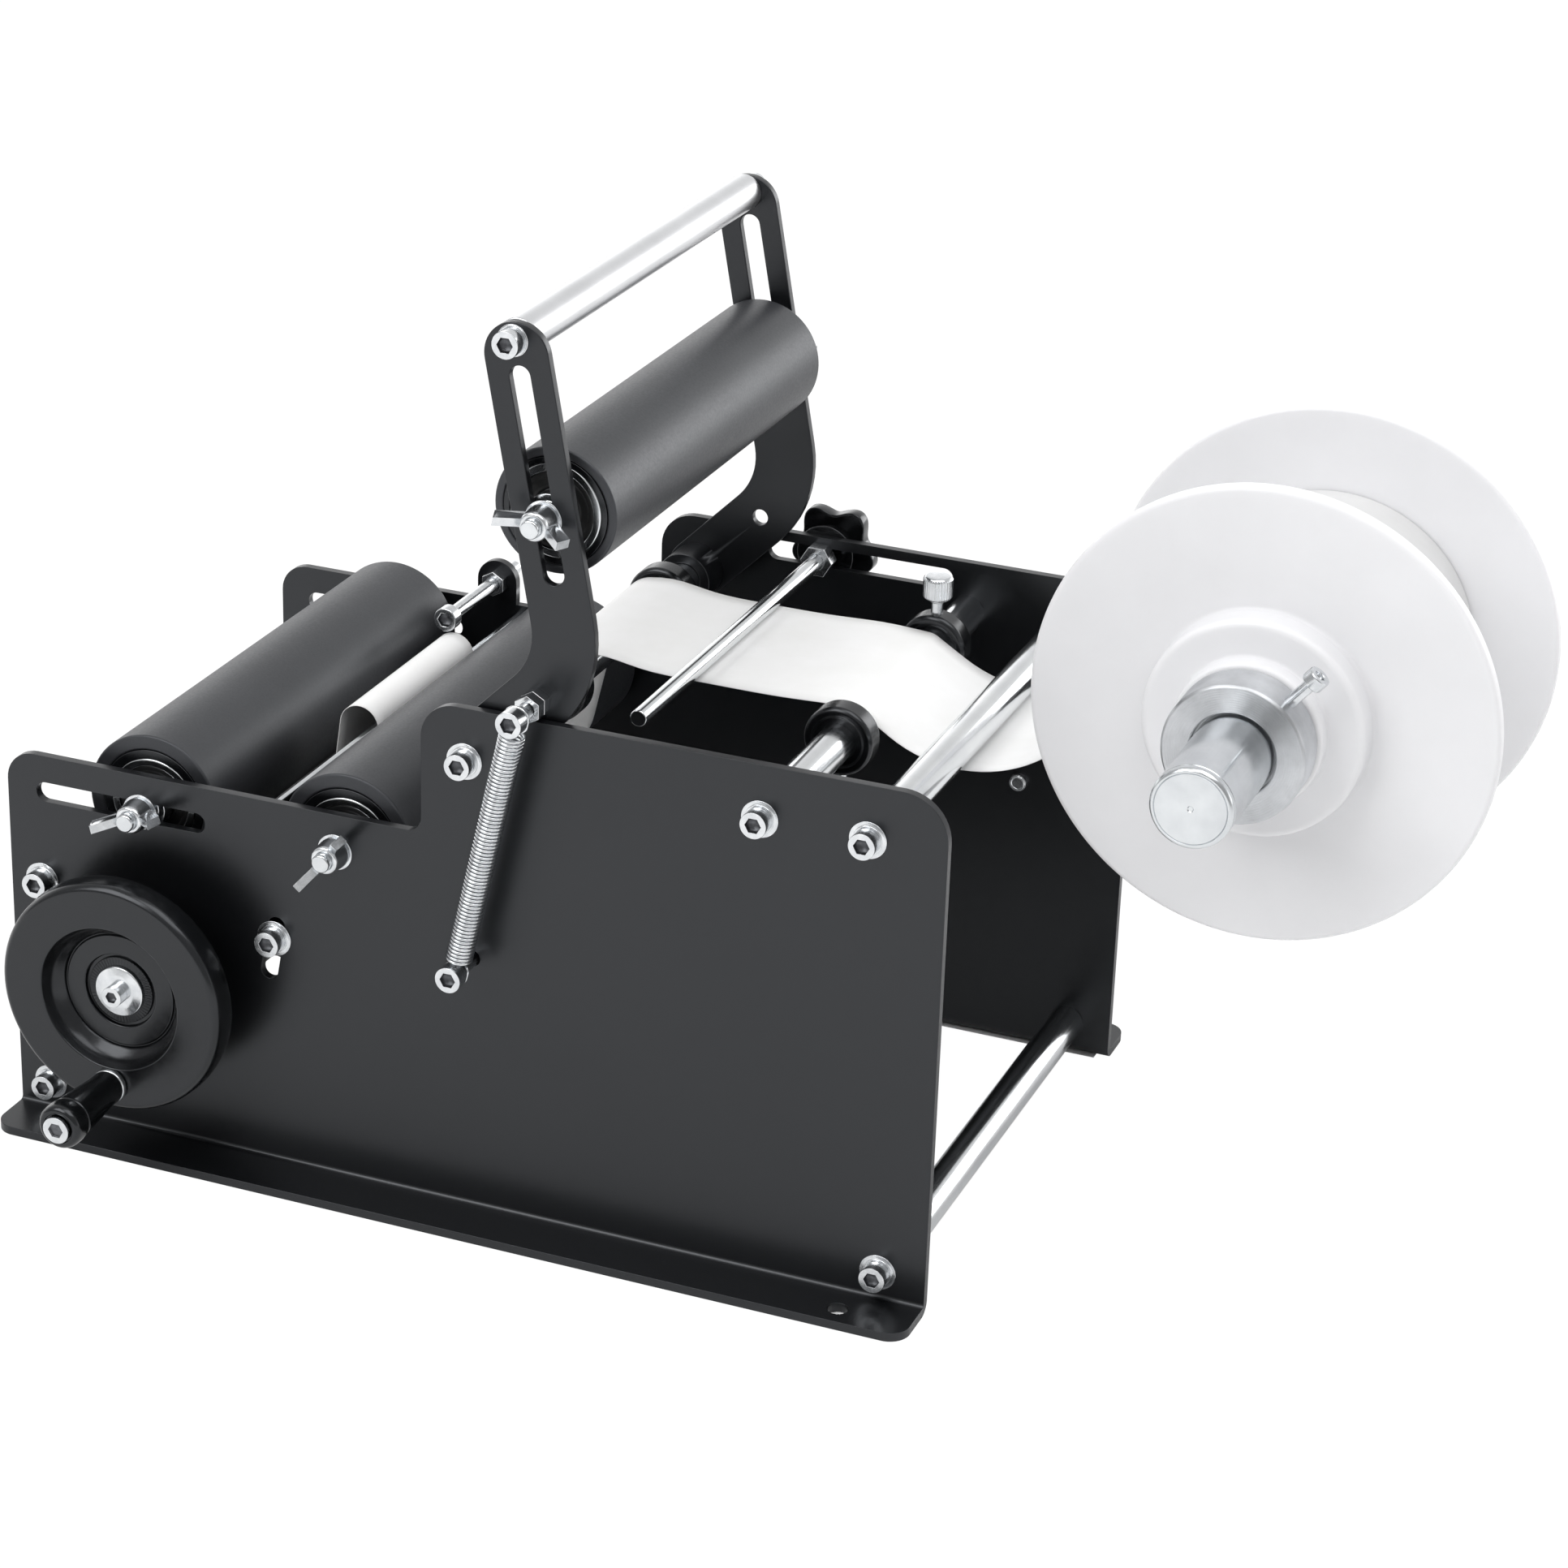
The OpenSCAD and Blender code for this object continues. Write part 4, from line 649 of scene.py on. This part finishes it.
# Guide collars: soft outer corners and a recess round the rod on both faces
collars = {
    "nodes": ["near_web_collar", "far_web_collar", "near_pivot_collar", "far_pivot_collar"],
    "profile": [(6.05, 0.9), (8.1, 0.9, 0.3), (8.7, 0, 0.4), (10.5, 0, 0.7), (11.5, 1.0, 0.7),
                (11.5, 8.0, 0.7), (10.5, 9.0, 0.7), (8.7, 9.0, 0.4), (8.1, 8.1, 0.3), (6.05, 8.1)],
}
for node in collars["nodes"]:
    low, high = nodeBox(node)
    ring = (collars["profile"], onAxis(low, high, low.y), alongBar)
    addTurned(pieceName(node), [ring], nodes[node]["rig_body"], mouldedPhenolic, [node])

# Thumb screws: a knurled head on a thin pin, heights from the rod's middle
thumbScrews = {
    "nodes": [("near_thumb_screw", -1), ("far_thumb_screw", 1)], "rodHeight": 157.0,
    "profile": [(0, 6.3), (2, 6.3, 0.3), (2, 15.2), (2.8, 15.6, 0.3), (2.8, 16.5), (4.2, 16.5, 0.3),
                (5, 17.3, 0.4), (5, 23.6, 0.4), (4.1, 24.5, 0.4), (0, 24.5)],
    "flutes": 36, "fluteDepth": 0.16, "flutePoints": 4, "flutedPast": 4.8,
}
for node, way in thumbScrews["nodes"]:
    low, high = nodeBox(node)
    middle = (low + high) / 2
    bm = turned(thumbScrews["profile"], thumbScrews["flutes"] * thumbScrews["flutePoints"])
    for vert in bm.verts:
        radius = math.hypot(vert.co.x, vert.co.y) / mm
        if radius > thumbScrews["flutedPast"]:
            wave = 0.5 - 0.5 * math.cos(math.atan2(vert.co.y, vert.co.x) * thumbScrews["flutes"])
            vert.co.xy *= 1 - thumbScrews["fluteDepth"] * wave / radius
    bm.transform(frameAt((middle.x, middle.y, thumbScrews["rodHeight"]), up * way))
    addPiece(pieceName(node), bm, nodes[node]["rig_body"], zincPlate, [node])
print("collars and thumb screws turned")

# Star knob: five broad lobes with shallow valleys, as levels of (height, inset), on a tapered neck of
# (radius at its foot, at its waist, height); heights are outwards from the far plate
starKnob = {
    "bore": 4.05, "neck": (10.2, 8.2, 7.4), "footEdge": 0.5, "neckSinksIn": 0.5, "neckSteps": 64,
    "middle": 13.6, "wave": 1.9, "lobes": 5, "points": 120,
    "levels": [(7.4, 0.8), (7.55, 0.3), (7.9, 0), (12.2, 0), (13.3, 0.5), (14.0, 1.5), (14.4, 3.4)],
}


def lobedBody(s):
    bm = bmesh.new()
    ring = bmesh.ops.create_circle(bm, segments=s["points"], radius=s["middle"] * mm)["verts"]
    for level, (height, inset) in enumerate(s["levels"]):
        if level > 0:
            rim = [e for e in bm.edges if e.verts[0] in ring and e.verts[1] in ring]
            grown = bmesh.ops.extrude_edge_only(bm, edges=rim)["geom"]
            ring = [v for v in grown if isinstance(v, bmesh.types.BMVert)]
        for vert in ring:
            turn = math.atan2(vert.co.y, vert.co.x)
            radius = s["middle"] - inset + s["wave"] * math.cos(s["lobes"] * (turn - math.pi / 2))
            vert.co = Vector((radius * math.cos(turn), radius * math.sin(turn), height)) * mm
    bmesh.ops.holes_fill(bm, edges=[e for e in bm.edges if e.is_boundary])
    bmesh.ops.recalc_face_normals(bm, faces=bm.faces)
    return bm


def addStarKnob(s):
    low, high = nodeBox("star_knob")
    nutLow, nutHigh = nodeBox("hold_down_nut")
    axis = ((low.x + high.x) / 2, low.y, (nutLow.z + nutHigh.z) / 2)
    foot, waist, height = s["neck"]
    neckEnd = height + s["neckSinksIn"]
    neck = [(s["bore"], 0), (foot, 0, s["footEdge"]), (waist, neckEnd), (s["bore"], neckEnd)]
    bm = turned(neck, s["neckSteps"])
    joinInto(bm, lobedBody(s))
    bm.transform(frameAt(axis, alongBar, (1, 0, 0)))
    body = nodes["star_knob"]["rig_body"]
    addPiece("starKnob", bm, body, polishedPhenolic, ["star_knob"])


addStarKnob(starKnob)
print("star knob moulded")

# Reel shaft and its clamp collar: faces with tool marks, heights outwards from the free end
reel = {
    "shaftEnd": -101.0, "steps": 128, "sharpAt": 5,
    "shaft": [(0, -0.3), (0.7, -0.3), (1.0, 0)] + toolMarks(1.2, 10.4, 0, 0.8, 0.03) + [
        (10.7, 0), (10.9, -0.3), (11.1, 0), (11.7, 0, 0.3), (12.5, -0.8, 0.6), (12.5, -2.6), (12.25, -2.9),
        (12.5, -3.2), (12.5, -174.6), (17, -174.6, 0.5), (17, -196), (4, -196), (4, -209, 0.6), (0, -209)],
    "clamp": [(12.55, -14.5), (21.3, -14.5, 0.4), (22, -13.8, 0.4), (22, -0.8, 0.4), (21.3, 0, 0.4)]
             + toolMarks(20.8, 14.0, 0, 0.7, 0.045)
             + [(13.7, 0, 0.2), (13.2, -0.4, 0.2), (13.2, -3), (12.55, -3)],
}
addTurned("reelShaft", [(reel["shaft"], onReel(reel["shaftEnd"]), towardsEye)], "frame", groundSteel,
          ["reel_shaft"], reel["steps"], reel["sharpAt"])
low, high = nodeBox("reel_clamp_collar")
addTurned("reelClampCollar", [(reel["clamp"], onReel(low.y), towardsEye)],
          nodes["reel_clamp_collar"]["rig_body"], turnedAluminium,
          ["reel_clamp_collar"], reel["steps"], reel["sharpAt"])

# Reel discs: turned nylon with soft corners, heights outwards from the face on the labels
discs = {
    "nodes": [("reel_front_disc", towardsEye), ("reel_rear_disc", alongBar)],
    "thick": 5.0, "bore": 12.55, "boss": (34.5, 15.0), "shoulder": (23.25, 21.0), "steps": 192,
}
for node, outward in discs["nodes"]:
    low, high = nodeBox(node)
    radius = (high.x - low.x) / 2
    thick = discs["thick"]
    profile = [
        (discs["bore"], 0, 0.4), (radius, 0, 1.2), (radius, thick, 1.8), (discs["boss"][0], thick, 1.6),
        (*discs["boss"], 2.4), (discs["shoulder"][0], discs["boss"][1], 1.2), (*discs["shoulder"], 1.6),
        (discs["bore"], discs["shoulder"][1], 0.4)]
    inside = onReel(high.y if outward.y < 0 else low.y)
    addTurned(pieceName(node), [(profile, inside, outward)], nodes[node]["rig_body"], milkyNylon,
              [node], discs["steps"])

# Label roll: the edges of the wound turns stand a little unevenly round a card tube
roll = {
    "radius": 46.0, "outerTurn": 0.3, "card": (12.7, 15.2), "turnPitch": 1.1, "unevenness": 0.12,
    "steps": 128,
}
low, high = nodeBox("label_roll")
width = high.y - low.y
lap = roll["unevenness"]
bore, card = roll["card"]
lastTurn = roll["radius"] - roll["outerTurn"]
windings = (toolMarks(card, lastTurn, width, roll["turnPitch"], lap)
            + [(roll["radius"], width - lap, 0.1), (roll["radius"], lap, 0.1)]
            + toolMarks(lastTurn, card, 0, roll["turnPitch"], -lap))
tube = [(bore, lap, 0.2), (card, lap, 0.2), (card, width - lap, 0.2), (bore, width - lap, 0.2)]
rollBase = onReel(low.y)
rollBody = nodes["label_roll"]["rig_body"]
addTurned("labelRoll", [(windings, rollBase, alongBar)], rollBody, glassineLiner,
          ["label_roll"], roll["steps"])
addTurned("labelRollTube", [(tube, rollBase, alongBar)], rollBody, woundCard)
print("reel dressed")

# Lever spring: close-wound coil with a hook round each screw, sizes in mm
spring = {
    "anchor": (5.6, 90.4), "stud": (25.627, 179.627), "y": -106.6, "coilRadius": 3.8, "hookRadius": 3.85,
    "wire": 1.0, "pitch": 1.285, "turns": 64, "hookTurn": 225, "hookDrop": 0.4,
    "pointsPerTurn": 20, "hookPoints": 24,
}


def springLine(s):
    length = math.dist(s["anchor"], s["stud"])
    radius, hook, perTurn = s["coilRadius"], s["hookRadius"], s["pointsPerTurn"]
    half = []
    coilEnd = int((s["turns"] / 2 - 0.5) * perTurn)
    for i in range(coilEnd + 1):
        a = 2 * math.pi * i / perTurn
        half.append((radius * math.cos(a), radius * math.sin(a), length / 2 + s["pitch"] * i / perTurn))
    base, top = half[-1][2], length - hook * s["hookDrop"]
    for i in range(1, perTurn + 1):
        share = i / perTurn
        a = math.pi * (s["turns"] - 1) + math.pi * share
        wide = radius + (hook - radius) * share
        rise = base + (top - base) * share ** 2
        half.append((wide * math.cos(a), radius * math.sin(a) * (1 - share), rise))
    for i in range(s["hookPoints"] + 1):
        a = math.radians(s["hookTurn"]) * i / s["hookPoints"]
        half.append((hook * math.cos(a), 0, length + hook * math.sin(a)))
    lower = [(x, -y, length - z) for x, y, z in reversed(half[1:])]
    lean = math.atan2(s["stud"][0] - s["anchor"][0], s["stud"][1] - s["anchor"][1])
    place = Matrix.Translation((s["anchor"][0], s["y"], s["anchor"][1])) @ Matrix.Rotation(lean, 4, "Y")
    return [place @ Vector(p) * mm for p in lower + half]


def wireMesh(name, points, diameter, roundness=3):
    data = bpy.data.curves.new(name, "CURVE")
    data.dimensions = "3D"
    data.bevel_depth, data.bevel_resolution = diameter / 2 * mm, roundness
    data.use_fill_caps = True
    line = data.splines.new("POLY")
    line.points.add(len(points) - 1)
    for knot, point in zip(line.points, points):
        knot.co = (*point, 1)
    wire = bpy.data.objects.new(name, data)
    scene.collection.objects.link(wire)
    bpy.context.view_layer.update()
    bm = bmesh.new()
    bm.from_mesh(bpy.data.meshes.new_from_object(wire))
    bpy.data.objects.remove(wire)
    return bm


bm = wireMesh("leverSpring", springLine(spring), spring["wire"])
addPiece("leverSpring", bm, "spring", springWire, ["lever_spring"])
print("spring wound")

# Label web: one strip of paper over the rods and rollers, as circles of (centre, radius, turn) in mm;
# its top run, (from x, to x, above z), lifts off the rods in two low waves of (height, place at the near
# edge, place at the far edge, length)
web = {
    "width": 72.0, "middle": 16.0, "thickness": 0.25,
    "circles": [
        (reelAxis, 46.5, 1), ((137.0, 196.5), 46.0, -1), ((100.5, 157.0), 6.5, 1),
        ((1.0, 154.3), 9.86, 1), ((-41.8, 117.4), 23.5, -1), ((-71.68, 125.9), 7.0, 1),
        ((-111.0, 61.4), 23.5, -1)],
    "lastTurn": 240, "step": 4, "longest": 4.0, "acrossCuts": 11,
    "waves": [(2.6, 14, 9, 13), (1.0, 97, 86, 16)], "topRun": (-12, 125, 148),
}


def lineHeading(a, b):
    dx, dz = b[0][0] - a[0][0], b[0][1] - a[0][1]
    return math.degrees(math.atan2(dz, dx) + math.asin((a[2] * a[1] - b[2] * b[1]) / math.hypot(dx, dz)))


def webLine(w):
    circles = w["circles"]
    headings = [lineHeading(a, b) for a, b in zip(circles, circles[1:])]
    arrive = [headings[0]] + headings
    leave = headings + [headings[-1] - w["lastTurn"]]
    points = []
    for (centre, radius, turn), start, end in zip(circles, arrive, leave):
        sweep = turn * ((turn * (end - start)) % 360)
        steps = max(1, math.ceil(abs(sweep) / w["step"]))
        for k in range(steps + 1):
            a = math.radians(start + sweep * k / steps)
            here = (centre[0] + turn * radius * math.sin(a), centre[1] - turn * radius * math.cos(a))
            if k == 0 and points:
                last = points[-1]
                cuts = math.ceil(math.dist(last, here) / w["longest"])
                for j in range(1, cuts):
                    points.append(tuple(p + (q - p) * j / cuts for p, q in zip(last, here)))
            points.append(here)
    return points


def liftedHeight(w, x, z, across):
    low, high, floor = w["topRun"]
    if not (low < x < high and z > floor):
        return z
    return z + sum(height * math.exp(-((x - near - (far - near) * across) / length) ** 2)
                   for height, near, far, length in w["waves"])


line = webLine(web)
middleLine = [(x, liftedHeight(web, x, z, 0.5)) for x, z in line]
webLength = sum(math.dist(a, b) for a, b in zip(middleLine, middleLine[1:]))
bm = bmesh.new()
nearEdge = web["middle"] - web["width"] / 2
row = [bm.verts.new(Vector((x, nearEdge, z)) * mm) for x, z in line]
edges = [bm.edges.new(pair) for pair in zip(row, row[1:])]
made = bmesh.ops.extrude_edge_only(bm, edges=edges)["geom"]
bmesh.ops.translate(bm, verts=[v for v in made if isinstance(v, bmesh.types.BMVert)],
                    vec=alongBar * web["width"] * mm)
across = [e for e in bm.edges if abs(e.verts[0].co.y - e.verts[1].co.y) > mm]
bmesh.ops.subdivide_edges(bm, edges=across, cuts=web["acrossCuts"], use_grid_fill=True)
for vert in bm.verts:
    x, y, z = vert.co / mm
    vert.co.z = liftedHeight(web, x, z, (y - nearEdge) / web["width"]) * mm
labelWeb = addPiece("labelWeb", bm, "frame", labelPaper, ["label_web"], sharpAt=180)
wall = labelWeb.modifiers.new("paper", "SOLIDIFY")
wall.thickness, wall.offset = web["thickness"] * mm, 0
print("web laid")

# Stage: a pale floor, white to the eye, plain to everything else; the studio is brightest low behind
stage = {
    "floor": "f2f2f2", "floorSize": 12.0, "floorHeight": -0.0006, "white": 1.06, "whiteShare": 0.93,
    "backdropHeights": (0.0, 0.55), "backdropLevels": (2.5, 0.9),
    "frontLevel": 0.55, "turnsBack": (-0.3, 0.4),
    "underFoot": [(-0.155, 0.155, -0.112, -0.0925), (-0.155, 0.155, 0.0925, 0.112)], "footHeight": -0.0003,
}


def addFloor(name, corners, height, paint):
    x0, x1, y0, y1 = corners
    bm = bmesh.new()
    bm.faces.new([bm.verts.new((x, y, height)) for x, y in [(x0, y0), (x1, y0), (x1, y1), (x0, y1)]])
    mesh = bpy.data.meshes.new(name)
    bm.to_mesh(mesh)
    bm.free()
    mesh.materials.append(paint)
    floor = bpy.data.objects.new(name, mesh)
    scene.collection.objects.link(floor)


def makePaint(name, s, whiteShare):
    paint = bpy.data.materials.new(name)
    paint.use_nodes = True
    tree = paint.node_tree
    tree.nodes.clear()
    matt = addNode(tree, "ShaderNodeBsdfDiffuse", None, {"Color": linear(s["floor"])})
    white = addNode(tree, "ShaderNodeEmission", None, {"Strength": s["white"]})
    path = addNode(tree, "ShaderNodeLightPath")
    share = addNode(tree, "ShaderNodeMath", {"operation": "MULTIPLY"}, {
        0: path.outputs["Is Camera Ray"], 1: whiteShare})
    mixed = addNode(tree, "ShaderNodeMixShader", None, {
        0: share.outputs[0], 1: matt.outputs[0], 2: white.outputs[0]})
    addNode(tree, "ShaderNodeOutputMaterial", None, {"Surface": mixed.outputs[0]})
    return paint


def addStage(s):
    half = s["floorSize"] / 2
    pale = makePaint("paleFloorPaint", s, s["whiteShare"])
    shaded = makePaint("shadedFloorPaint", s, 0)  # under the foot flanges, where no white may show through
    addFloor("floor", (-half, half, -half, half), s["floorHeight"], pale)
    for i, corners in enumerate(s["underFoot"]):
        addFloor("underFoot%d" % (i + 1), corners, s["footHeight"], shaded)
    world = bpy.data.worlds.new("studio")
    scene.world = world
    world.use_nodes = True
    tree = world.node_tree
    tree.nodes.clear()
    heading = addNode(tree, "ShaderNodeTexCoord").outputs["Generated"]
    parts = addNode(tree, "ShaderNodeSeparateXYZ", None, {"Vector": heading}).outputs
    smooth = {"interpolation_type": "SMOOTHSTEP"}
    backdrop = addNode(tree, "ShaderNodeMapRange", smooth, {
        "Value": parts["Z"], "From Min": s["backdropHeights"][0], "From Max": s["backdropHeights"][1],
        "To Min": s["backdropLevels"][0], "To Max": s["backdropLevels"][1]}).outputs[0]
    graded = addNode(tree, "ShaderNodeMapRange", smooth, {
        "Value": parts["Y"], "From Min": s["turnsBack"][0], "From Max": s["turnsBack"][1],
        "To Min": s["frontLevel"], "To Max": backdrop}).outputs[0]
    path = addNode(tree, "ShaderNodeLightPath")
    level = addNode(tree, "ShaderNodeMath", {"operation": "MAXIMUM"}, {
        0: graded, 1: path.outputs["Is Camera Ray"]})
    sky = addNode(tree, "ShaderNodeBackground", None, {"Strength": level.outputs[0]})
    addNode(tree, "ShaderNodeOutputWorld", None, {"Surface": sky.outputs[0]})


addStage(stage)

# Soft boxes: one overhead towards the reel, a stronger one over the front, a low one behind the reel
lamps = [
    {"name": "softboxTop", "place": (0.55, -0.35, 1.7), "size": 1.3, "power": 12},
    {"name": "softboxFront", "place": (-0.7, -1.2, 1.5), "size": 1.3, "power": 18},
    {"name": "softboxBack", "place": (1.05, 1.6, 0.5), "size": 0.9, "power": 6},
]
aim = Vector((0.05, 0, 0.12))
for lamp in lamps:
    data = bpy.data.lights.new(lamp["name"], "AREA")
    data.size, data.energy = lamp["size"], lamp["power"]
    light = bpy.data.objects.new(lamp["name"], data)
    light.location = lamp["place"]
    light.rotation_mode = "QUATERNION"
    light.rotation_quaternion = (aim - light.location).to_track_quat("-Z", "Y")
    scene.collection.objects.link(light)
scene.view_settings.view_transform = "Standard"
print("stage lit")
